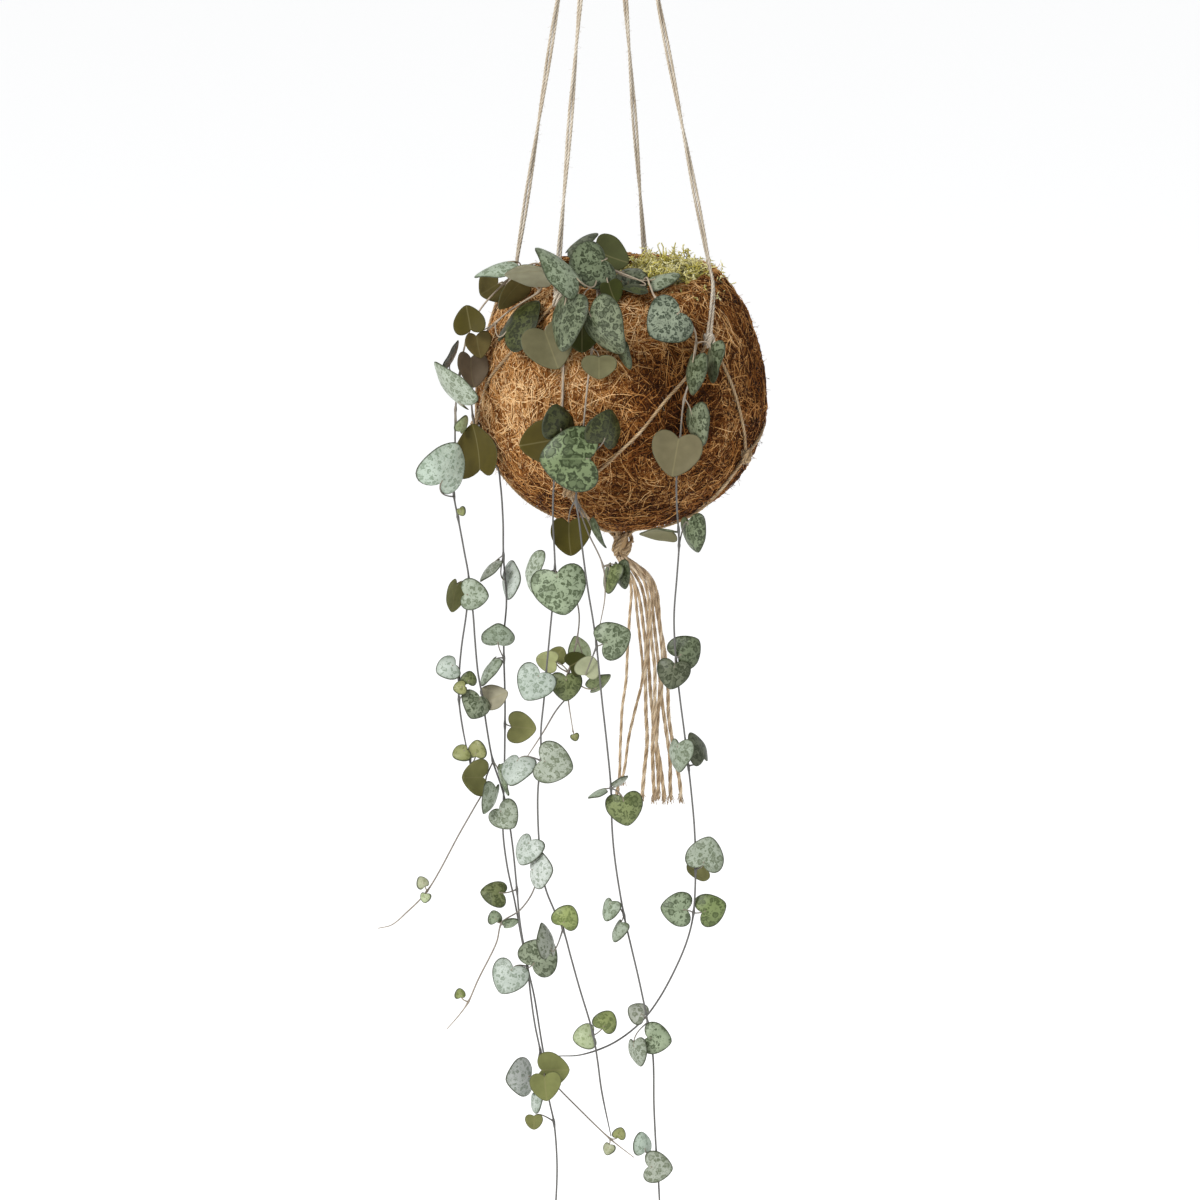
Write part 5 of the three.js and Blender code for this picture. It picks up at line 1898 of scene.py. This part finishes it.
@dataclass
class Plant:
    """The string-of-hearts: five trailing vines and the leaves on the crown."""

    upper: Material
    under: Material
    bark: Material
    stem_lift: float = 2.9
    slender: float = 0.64  # a stem's radius beside that of its solid
    swell: float = 0.75  # how much thicker a stem is where leaves grow
    swell_reach: float = 1.3
    root_rise: float = 2.2  # how far a stem rises straight out of the soil
    root_depth: float = 5.0
    old: str = "#5F5E5B"  # bark of a hanging stem
    pale: str = "#B5A48E"  # bark of a stem on the ball

    def colour(self, path: np.ndarray, young: bool) -> np.ndarray:
        """The bark's colour along a stem.

        Args:
            path: The stem's points.
            young: Whether it is a young side stem.

        Returns:
            A colour for each point.
        """
        old, pale = rgb(self.old), rgb(self.pale)
        share = np.clip((path[:, 2:] - (BALL.z - 15)) / 45, 0, 1)
        if young:
            share = np.maximum(share, np.linspace(0.1, 0.6, len(path))[:, None])
        return old + (pale - old) * share

    def add_stem(self, shape: Shape, stem: Stem, grown: list[np.ndarray]) -> None:
        """Adds a stem with its nodes and leaves.

        Args:
            shape: The vine's mesh.
            stem: The stem.
            grown: The paths of the vine's stems so far, which this one joins.
        """
        spots = [placed(place[:3], self.stem_lift) for place in stem.places]
        if stem.root:
            soil = BALL.z + BALL.soil_top
            spots = [np.array((*stem.root, soil - self.root_depth)),
                     np.array((*stem.root, soil + self.root_rise)), *spots]
        else:
            spots[0] = nearest(grown, spots[0])
        path = smooth(spots, 1.4)
        grown.append(path)
        young = stem.radius < Stem.radius
        girth = np.full(len(path), stem.radius * self.slender)
        girth[-12:] *= np.linspace(1, 0.55, 12)
        colour = self.colour(path, young)
        for place in stem.places:
            if len(place) > 3:
                away = np.linalg.norm(path - placed(place[:3], self.stem_lift), axis=1)
                girth *= 1 + self.swell * np.exp(-((away / self.swell_reach) ** 2))
                at = int(np.argmin(away))
                for row in place[3:]:
                    Leaf(*row).add_to(shape, path[at], colour[at])
        points, faces = tube(path, circle(7), girth)
        shape.add(points, faces, 2, ground=np.repeat(colour, 7, axis=0))

    def build(self) -> None:
        """Makes the vines, one piece for each."""
        for name, stems in VINES.items():
            shape = Shape()
            grown: list[np.ndarray] = []
            for stem in stems:
                self.add_stem(shape, stem, grown)
            skins = [self.upper, self.under, self.bark]
            fit(shape.build(f"{name}_plant", skins, merge=0.01), name)


def nearest(paths: Sequence[np.ndarray], spot: np.ndarray) -> np.ndarray:
    """The point of some paths that is nearest to a spot."""
    points = np.vstack(paths)
    return points[int(np.argmin(np.linalg.norm(points - spot, axis=1)))]


# ------------------------------------------------------------------ studio


@dataclass(frozen=True)
class Studio:
    """A plain pale floor, a pale surround and soft lights."""

    floor: float = -700.0
    reach: float = 20000.0  # from the floor's middle to its edges
    white: str = "#F7F7F6"
    glow: float = 0.46  # what the floor gives of its own, so that it stays pale to its far edge
    surround: float = 0.55
    aim: tuple[float, float, float] = (0.0, 0.0, -0.33)  # what the lights face, in metres

    def build_floor(self) -> None:
        """Lays the floor: a large pale sheet."""
        paper = Surface("matt white paper", 0.9, 0.1)
        paper.shader.inputs["Base Color"].default_value = linear(self.white)
        paper.shader.inputs["Emission Color"].default_value = linear("#FFFFFF")
        paper.shader.inputs["Emission Strength"].default_value = self.glow
        corners = ((-1, -1), (1, -1), (1, 1), (-1, 1))
        shape = Shape()
        shape.add(np.array([(self.reach * x, self.reach * y, self.floor) for x, y in corners]),
                  [(0, 1, 2, 3)])
        shape.build("floor", [paper.material])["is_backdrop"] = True

    def add_light(self, name: str, spot: Sequence[float], size: float, power: float) -> None:
        """Adds a soft square light that faces the object.

        Args:
            name: Its name.
            spot: Where it stands, in metres.
            size: Its side, in metres.
            power: Its power, in watts.
        """
        lamp = bpy.data.lights.new(name, "AREA")
        lamp.size = size
        lamp.energy = power
        light = add_object(name, lamp)
        light.location = spot
        way = np.array(self.aim) - spot
        way /= np.linalg.norm(way)
        light.rotation_euler = (math.acos(-way[2]), 0.0, math.atan2(way[1], way[0]) - math.pi / 2)

    def build(self) -> None:
        """Sets up the studio."""
        self.build_floor()
        world = bpy.data.worlds.new("studio")
        world.use_nodes = True
        background = world.node_tree.nodes["Background"]
        background.inputs["Color"].default_value = linear("#FCFDFF")
        background.inputs["Strength"].default_value = self.surround
        bpy.context.scene.world = world
        bpy.context.scene.view_settings.view_transform = "Standard"
        self.add_light("key", (-1.4, -1.5, 1.2), 0.9, 52.0)
        self.add_light("fill", (1.9, -1.4, 0.2), 1.6, 6.0)
        LOG.info("studio: floor at %.0f mm", self.floor)


# ------------------------------------------------------------------ layout

# The net's strands: the knots that each joins, and the points between them, either round the
# ball, by angle and height, or on its near side, by across and drop.
NET = (
    ("shoulder_knot_1", "lower_knot_left", (("round", 176, 30), ("round", 180, 10))),
    ("shoulder_knot_1", "lower_knot_back",
     (("round", 165, 30), ("round", 150, 12), ("round", 136, -2))),
    ("shoulder_knot_2", "lower_knot_left",
     (("front", -24, 224), ("front", -30.4, 231), ("front", -39, 241), ("front", -46, 250),
      ("round", 194, 0))),
    ("shoulder_knot_2", "lower_knot_front",
     (("front", -17.4, 226), ("front", -16.8, 240), ("front", -16.6, 254), ("front", -17.4, 268),
      ("front", -17, 282))),
    ("shoulder_knot_3", "lower_knot_back",
     (("round", 82, 26), ("round", 95, 10), ("round", 111, -3))),
    ("shoulder_knot_3", "lower_knot_right",
     (("round", 64, 28), ("round", 42, 13), ("round", 18, 0), ("round", -8, -11))),
    ("shoulder_knot_4", "lower_knot_front",
     (("front", 34.4, 247), ("front", 24, 259), ("front", 14.4, 271), ("front", 6, 279),
      ("front", -1.6, 286))),
    ("shoulder_knot_4", "lower_knot_right",
     (("front", 46.6, 241.8), ("front", 51.5, 253), ("front", 54.4, 263), ("front", 56.2, 272))),
)

# The tassel's strands: the angle at which each leaves the bottom knot, and its places: across,
# drop and depth.
TASSEL = (
    (180, ((10.2, 331, -1), (11, 340, -1.4), (9.2, 359, -2), (6.8, 394, -3), (5, 416, -4))),
    (135, ((11.6, 332, 2.4), (14.4, 352, 2.6), (14.8, 371, 2.2), (10.4, 392, 1.4), (6.6, 411, 1))),
    (225, ((13, 332, -3.6), (16, 354, -4.2), (17, 378, -4), (16.6, 398, -4), (15.6, 417, -4))),
    (90, ((14.4, 331, 4.4), (17.6, 354, 5), (18.8, 378, 5), (19.6, 398, 5.4), (20.4, 418, 6))),
    (270, ((15.8, 331, -5.6), (19.4, 354, -6.8), (20.2, 378, -6.6), (21.6, 398, -6),
           (24, 418, -6))),
    (0, ((17.2, 331, 0.6), (21, 354, 0.8), (22, 378, 1), (21.2, 398, 0.6), (21.4, 417, 0))),
    (315, ((18.4, 330, -2.8), (22.4, 352, -3), (23.6, 378, -2.8), (25.6, 398, -2.6),
           (27.2, 418, -2))),
    (45, ((19, 330, 3.6), (23.6, 354, 4.4), (25.6, 378, 4.6), (28, 398, 4), (30.8, 418, 4))),
)

RUNNER = 0.5  # radius of a young side stem

# The vines. A place of a stem is its across, drop and depth (or that it lies on the ball), and
# then its leaves. A leaf is the middle of its blade, its width, the way that its tip points as
# seen, how far the tip leans to the viewer, the turn about its midrib, and its tone.
VINES: dict[str, list[Stem]] = {
    "vine_1_far_left": [
        Stem((
            (-26, 203.5, -6), (-33, 205.5, -9, (-43, 204.6, -21, 21, 197, 0, 75, SHADY)),
            (-39.6, 211, -12, (-45.4, 213.4, -9.5, 15, 215, 40, 180, KHAKI)), (-49.6, 222, -16),
            (-55, 234, -19, (-50.6, 236, -24.5, 12, -80, 0, 150, KHAKI)),
            (-58, 249, -20, (-60.4, 240.5, -21, 14.5, 67, 0, 85, SILVER),
             (-62, 253.5, -32.5, 26, 128, 0, -72, SHADY),
             (-53.2, 246, -25, 16, -85, 10, 140, UMBER)),
            (-59.4, 262, -20, (-56.4, 268, -22, 9, 65, 0, 60, FRESH)), (-59.6, 280, -20),
            (-60, 296, -20, (-62.4, 285.2, -32, 23, 65, 0, 40, SILVER)),
            (-58.4, 305, -20, (-57, 302.5, -22, 4.5, -60, 0, 30, YOUNG)), (-56, 318, -20),
            (-54, 330.5, -20, (-60, 336, -17, 15, -104, 0, 125, OLIVE),
             (-52, 336, -24, 13, -5, 10, 10, SHADY)),
            (-55, 343, -20), (-57, 357, -20),
            (-58, 369, -20, (-62.4, 365, -22, 11, 200, 10, 20, SILVER),
             (-54, 369.5, -23, 7, 80, 0, 10, GREEN)),
            (-58, 378, -20, (-57.5, 373, -26, 6.5, 190, 0, 20, YOUNG)), (-56.4, 390, -20),
            (-53.5, 403.5, -20, (-57, 399, -24, 8.5, 200, 10, 30, YOUNG),
             (-51, 398, -23, 9, 85, 0, -25, YOUNG)),
        ), root=(-20, -3)),
        Stem((
            (-54, 330.5, -20), (-52.4, 343, -21), (-51.6, 354, -21), (-50.4, 367, -21),
            (-48.4, 378, -21, (-51, 380, -26, 13, -110, 25, -20, MARBLED),
             (-43.5, 377, -17, 12, 20, 0, 150, DUSTY)),
            (-47.2, 387, -21), (-44.4, 402.5, -21, (-41, 410, -24, 15, -74, 0, 80, OLIVE)),
            (-40.6, 414, -21), (-38.4, 424, -21, (-39.6, 424.5, -26, 13, -51, 10, 10, SHADY)),
            (-36.6, 436, -21), (-34.8, 454, -20, (-44, 455, -22, 12, 175, 0, 30, GREEN)),
            (-33.6, 467, -20),
            (-30.6, 485, -19, (-38.4, 489, -21.5, 15.5, -115, 0, 10, SILVER),
             (-25.6, 480.5, -25, 17, 50, 15, 0, MARBLED)),
            (-29.2, 497, -19), (-27.6, 508, -18.5),
            (-25.4, 518.5, -18, (-20.6, 526, -20.5, 15, 0, -10, 180, OLIVE)),
            (-23.6, 528, -18, (-33, 529, -18, 16, 185, 40, 0, SILVER),
             (-23.5, 532.5, -25, 13, -85, 0, 170, OLIVE)),
            (-24, 537, -18, (-27.6, 539, -20, 10, -90, 0, 60, SILVER)),
        )),
        Stem((
            (-44.4, 402.5, -21), (-47, 408.5, -22),
            (-48, 414, -23, (-52, 409, -26, 15, 180, 40, 180, OLIVE),
             (-45, 417.5, -27, 15, -111, 0, -65, SHADY)),
            (-51.6, 420.5, -23), (-57.6, 431, -24),
            (-70.8, 454.5, -26, (-72.6, 451, -28, 6, 120, 0, 30, FRESH),
             (-71.5, 457, -28, 5, -100, 0, 20, FRESH)),
            (-79, 463, -26.5), (-85, 468, -27), (-90.4, 469.3, -27),
        ), radius=RUNNER),
    ],
    "vine_2_left": [
        Stem((
            (-20, 207.5, -20), (-23, 209.5, -27, (-30, 206.5, -39, 21, 180, 0, 112, DUSTY)),
            (-26, 214.5, ON_BALL, (-37.6, 215, -28, 17, 230, 0, 120, KHAKI)),
            (-32, 218.5, ON_BALL), (-38, 222.4, ON_BALL),
            (-43.2, 227, -23, (-35, 226, ON_BALL, 25, 50, 0, -60, DEEP),
             (-54, 226, -26, 13, 100, 0, 175, BROWN)),
            (-47.2, 231, -21), (-50.8, 238, -18), (-52.2, 249, -16), (-53, 258, -15),
            (-52.4, 265, -15, (-50, 278.4, -21, 24, 97, 0, 140, BROWN)), (-50.4, 274, -16),
            (-47.6, 281, -17), (-42.8, 284.5, -17.5), (-41.4, 292, -16), (-40.4, 306, -14),
            (-40.2, 320.5, -13, (-46, 325.5, -14, 13.5, -131, 0, 78, SHADY),
             (-38, 330, -12.5, 16, -5, 58, 0, SILVER)),
            (-39, 338.5, -12), (-40, 352, -12),
            (-40, 361.5, -12, (-42.4, 352.5, -16.5, 13.5, 90, 40, 0, SHADY),
             (-46.6, 366, -14, 15, -119, 0, 72, SHADY)),
            (-39.6, 376, -12), (-39.6, 388, -12, (-33, 389, -10, 13, -5, 0, 180, OLIVE)),
            (-39.8, 404, -12), (-40.2, 418, -12), (-40.4, 430.5, -12), (-38.8, 444, -11.5),
            (-35.6, 459, -11), (-33, 473, -10.5), (-30.4, 485.5, -10), (-27.8, 497, -9.5),
            (-25.4, 512, -9), (-22.8, 528, -8), (-22, 537.5, -8),
            (-20, 547, -7.5, (-28, 546.5, -9, 7.5, -90, 0, 180, OLIVE)), (-18.8, 562.8, -7.5),
            (-19.2, 578, -7), (-20.8, 596, -7),
        ), root=(-16, -12)),
        Stem((
            (-22.8, 528, -8), (-18, 533.5, -8), (-11.6, 540, -8),
            (2.4, 553.5, -8, (6.2, 551.5, -9, 6, 70, 0, 10, YOUNG),
             (1.8, 557.5, -10, 6, -110, 0, 30, FRESH)),
            (12, 561, -8),
        ), radius=RUNNER),
    ],
    "vine_3_front_left": [
        Stem((
            (-10, 209.5, -27),
            (-11.5, 212, -34.5, (-16.6, 226.4, -62.5, 26, -97, 0, 60, SPOTTED),
             (-8.8, 231.6, -57, 16, -90, 0, 180, DEEP)),
            (-13, 218, ON_BALL),
            (-14.8, 226, ON_BALL, (-21.6, 236.4, -50.5, 21, -70, 0, 180, PALE)),
            (-16, 240, ON_BALL), (-16.4, 252, ON_BALL), (-16.8, 263, -55.2), (-18.8, 280, -55),
            (-20, 291, -54), (-20.4, 306, -52.5),
            (-19.6, 325.6, -50.5, (-28.8, 327.6, -45, 19, 180, -65, 0, SHADY),
             (-17.6, 334, -55, 22, -78, 0, 0, MARBLED)),
            (-20.4, 338, -50), (-21.8, 353, -50),
            (-23.2, 368, -50, (-28, 371.5, -52.5, 16, -120, 0, 0, SILVER)), (-24, 378, -50),
            (-25.2, 390, -49.5),
            (-25.2, 402, -49.5, (-20, 403.5, -53.5, 17, -15, 0, 0, SHADY),
             (-35.6, 405.5, -49, 15.5, -110, 20, 35, SILVER)),
            (-26.4, 414, -49.5), (-26.4, 426, -49.5),
            (-25.6, 438.5, -49, (-31, 438, -50, 14, -115, 0, 40, SILVER),
             (-26, 446, -53.5, 15.5, 0, 48, 0, SILVER)),
            (-23.6, 452.5, -48.5), (-20.4, 461, -48),
            (-16.4, 469.6, -48, (-15.2, 465, -50, 11.5, 65, 0, 0, BRIGHT),
             (-22.4, 474, -46, 16, 105, 0, 65, SHADY)),
            (-13.2, 481, -48), (-10, 492.5, -48.5),
            (-4.4, 511.5, -49, (-7.6, 512.5, -47.5, 11, 190, 0, 15, FRESH),
             (0.8, 506.8, -51, 10.5, 60, 0, 10, BRIGHT)),
            (-2.6, 522, -49), (-1, 534, -49), (2.8, 552.5, -49),
        ), root=(-9, -19)),
        Stem((
            (-25.6, 438.5, -49), (-28, 453.6, -48), (-33.6, 462, -47.5),
            (-40.8, 467, -47, (-43.6, 465, -47.5, 6.5, 105, 0, 20, OLIVE),
             (-37.5, 467.5, -50.5, 8, 20, 0, 60, OLIVE)),
            (-43, 475, -47), (-50.4, 490, -47),
            (-54.4, 499, -47, (-57.6, 495.5, -47.5, 5, 100, 0, 20, YOUNG)), (-57.6, 503.6, -47),
            (-62.8, 509.6, -47),
        ), radius=RUNNER),
        Stem((
            (-19.6, 325.6, -50.5), (-12.8, 334, -46), (-10, 343, -44),
            (-10.8, 354, -43, (-9.6, 357.5, -39, 12, 110, 0, 40, FRESH)),
            (-14, 366.5, -43, (-22.4, 362, -45, 10.5, 170, 0, 150, FRESH),
             (-18.4, 360, -42, 8, 60, 0, 180, OLIVE), (-11, 363, -45, 10, 30, 0, 180, DEEP),
             (-15.2, 372.5, -46, 13, -90, 0, 0, GREEN), (-1.6, 371.5, -44, 12, 35, 0, 60, GREEN)),
            (-14.4, 376, -42), (-12.4, 390.5, -42, (-11.6, 392.8, -42, 3.8, -70, 0, 0, YOUNG)),
        ), radius=RUNNER),
        Stem((
            (-14.4, 376, -42), (-19, 382, -41.5), (-24.4, 391, -41), (-31.6, 402, -41),
        ), radius=RUNNER),
    ],
    "vine_4_front": [
        Stem((
            (-2, 209.5, -28),
            (-2.6, 212.5, -38, (-1, 230, -70.5, 27, -55, 0, 56, SPOTTED),
             (7.6, 240.5, -60, 13, -65, 0, 70, SPOTTED)),
            (-2.8, 218, ON_BALL), (-4, 228, ON_BALL),
            (-4.8, 238, ON_BALL, (-2, 244, ON_BALL, 14, -90, -40, 180, PALE)),
            (-6.4, 250, ON_BALL), (-7.6, 262, -58.6),
            (-9.2, 280, -58.8, (-26, 275, -57, 17, 190, 0, 180, BROWN),
             (-18, 266.5, -59, 15, 100, 0, 30, DEEP), (-13.6, 281.5, -66.5, 26, 180, 0, 0, RINGED),
             (1.2, 269.6, -62.5, 17, 75, 0, 35, DEEP)),
            (-10.4, 290, -58.6),
            (-11.2, 298, -58.6, (-14, 312.5, -47, 17, -88, 0, 160, BROWN),
             (-3.2, 311.6, -56, 15, -61, 0, 85, DARK)),
            (-10, 306, -58.6), (-8.6, 318, -58.6), (-6.4, 334, -58), (-4.4, 346, -57.5),
            (-3, 356, -57, (4, 353.6, -61, 15.5, 25, 0, 0, MARBLED),
             (-6.4, 365, -54, 10.5, 70, 0, 180, DUSTY)),
            (-0.8, 378, -56), (1.2, 396, -56),
            (2.8, 413.2, -56, (-2.4, 415, -57, 10, 205, 0, 80, SHADY),
             (6.4, 411, -57, 9, 35, 0, 75, SHADY), (8.4, 421.5, -60, 15, -80, 0, 0, GREEN)),
            (3.2, 428.5, -56), (4.4, 442, -56),
            (8, 464, -55, (2, 461.6, -56, 11, -110, 0, 50, SHADY),
             (5.6, 470, -57, 11, -115, 0, 60, SHADY)),
            (11.2, 478, -55), (14, 490, -54.5),
            (17.6, 507.5, -54, (13.6, 503, -53.5, 9.5, 150, 0, 20, SHADY),
             (21.2, 513.6, -57.5, 13, -10, 0, 0, MARBLED),
             (12.8, 519, -56, 13, -75, 0, 55, SHADY)),
            (19.6, 520.5, -53.5), (20, 540.5, -53),
            (21, 560, -53, (15.8, 555.6, -52, 11, 100, 0, 45, SILVER),
             (21.6, 565, -56.5, 13, -5, 0, 0, SHADY)),
            (21.8, 570, -53), (22.6, 590, -53),
        ), root=(-1, -21)),
        Stem((
            (-11.2, 298, -58.6), (-6.4, 311, -56),
            (-0.4, 324.4, -55, (2, 329, -55, 14, -100, 0, 60, GREEN),
             (6.4, 328, -54, 13, -75, 0, 60, DARK)),
            (0.4, 336.4, -54.5), (-1.6, 348, -54.5),
        ), radius=RUNNER),
    ],
    "vine_5_right": [
        Stem((
            (17, 209, -33), (18.5, 212.5, -38.5),
            (21, 217.5, ON_BALL, (25.6, 226.4, -54.5, 20.5, 217, 20, 0, SPECKLED)),
            (30.4, 223.5, ON_BALL), (36, 229.5, ON_BALL),
            (36.8, 235.5, ON_BALL, (35.2, 247.2, -60, 19, -95, 0, 66, SPOTTED),
             (42.6, 242.4, -56, 19, -92, 0, 72, SPOTTED)),
            (34.5, 249, ON_BALL), (32, 258, -54.4, (36.4, 268, -60.5, 19, -75, 0, 62, SPOTTED)),
            (30.4, 274, -54.8, (28.8, 279.5, -61, 20, -100, 0, 180, PALE)), (29, 288, -54.6),
            (29.2, 302, -54), (29.8, 310, -53.5, (22, 310.6, -52, 17, 180, 0, 105, PALE)),
            (30, 316, -53.4, (34.8, 311.6, -54, 17, -75, 0, 55, SPOTTED)), (29.2, 328, -52),
            (28, 345, -51),
            (28.8, 362.4, -50, (33, 358, -49, 14, 40, 0, 0, DARK),
             (27.6, 367.6, -53, 13.5, -100, 0, 0, DARK)),
            (30.2, 376, -50), (32, 390, -49),
            (33.8, 405, -48.5, (29.6, 400, -51, 15, -92, 0, 50, SHADY),
             (38, 397, -48, 15, 115, 0, 60, DARK)),
            (34.8, 414, -48), (36.2, 430, -47.5),
            (36.6, 446, -47, (40.8, 439.6, -51, 15.5, 75, 0, 0, SHADY),
             (36.4, 445, -42.5, 13, 200, 50, 180, OLIVE)),
            (35.8, 463, -46, (29, 461.6, -48, 14, 175, 0, 0, MARBLED),
             (43, 461.6, -47, 13.5, 20, 0, 0, GREEN)),
            (34.2, 471, -46), (30.6, 481, -45.5), (22, 497.5, -45), (14.4, 507.2, -44.5),
            (3.2, 515.5, -43.5), (-9.6, 520, -43), (-18, 520.4, -43),
        ), root=(14, -26)),
    ],
    "crown_leaves": [
        Stem((
            (-3.5, 205, -16, (-9.6, 194.6, -14, 17, 32, 0, -75, DARK),
             (2.4, 200.8, -18, 17, -20, 0, 160, DARK)),
            (-4, 202.5, -24, (-5.2, 204.4, -42, 21.5, 205, 25, 10, SPOTTED),
             (10.8, 208, -26, 15, -15, 30, -50, SPOTTED),
             (-16.2, 204.4, -59, 28, 137, 0, 68, MARBLED)),
            (2, 205.5, -30, (23.6, 209, -31.5, 15, 15, 0, -65, MARBLED),
             (12, 212.5, -40.5, 13, 180, 0, 75, DEEP), (2.8, 214.4, -44, 11, -70, 0, 150, DEEP)),
        ), root=(-3, -9)),
    ],
}


# ------------------------------------------------------------------ the whole


def write_sizes() -> None:
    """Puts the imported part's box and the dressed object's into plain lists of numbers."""
    boxes = {"cad": CAD_BOX, "visual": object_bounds()}
    plain = {name: [[float(number) for number in corner] for corner in box]
             for name, box in boxes.items()}


def main() -> None:
    """Builds the camera, the object and the studio."""
    logging.basicConfig(level=logging.INFO, format="%(name)s: %(message)s", stream=sys.stdout)
    SIGHT.camera()
    Hanger(
        JuteTwine().material(),
        # painted shade: the darker, browner jute of the twine on the coir and under the ball
        JuteTwine("dusty jute twine", "#DCC7A4", "#B2946C", "#7F6140", "#58422A").material(),
        JuteTwine("untwisted jute", "#EBDDC4", "#C7AD89", "#85694B", "#5F462E").material(),
    ).build()
    Kokedama().build()
    skin = LeafSkin()
    Plant(skin.upper(), skin.under(), skin.stem()).build()
    Studio().build()
    write_sizes()


if __name__ == "__main__":
    main()
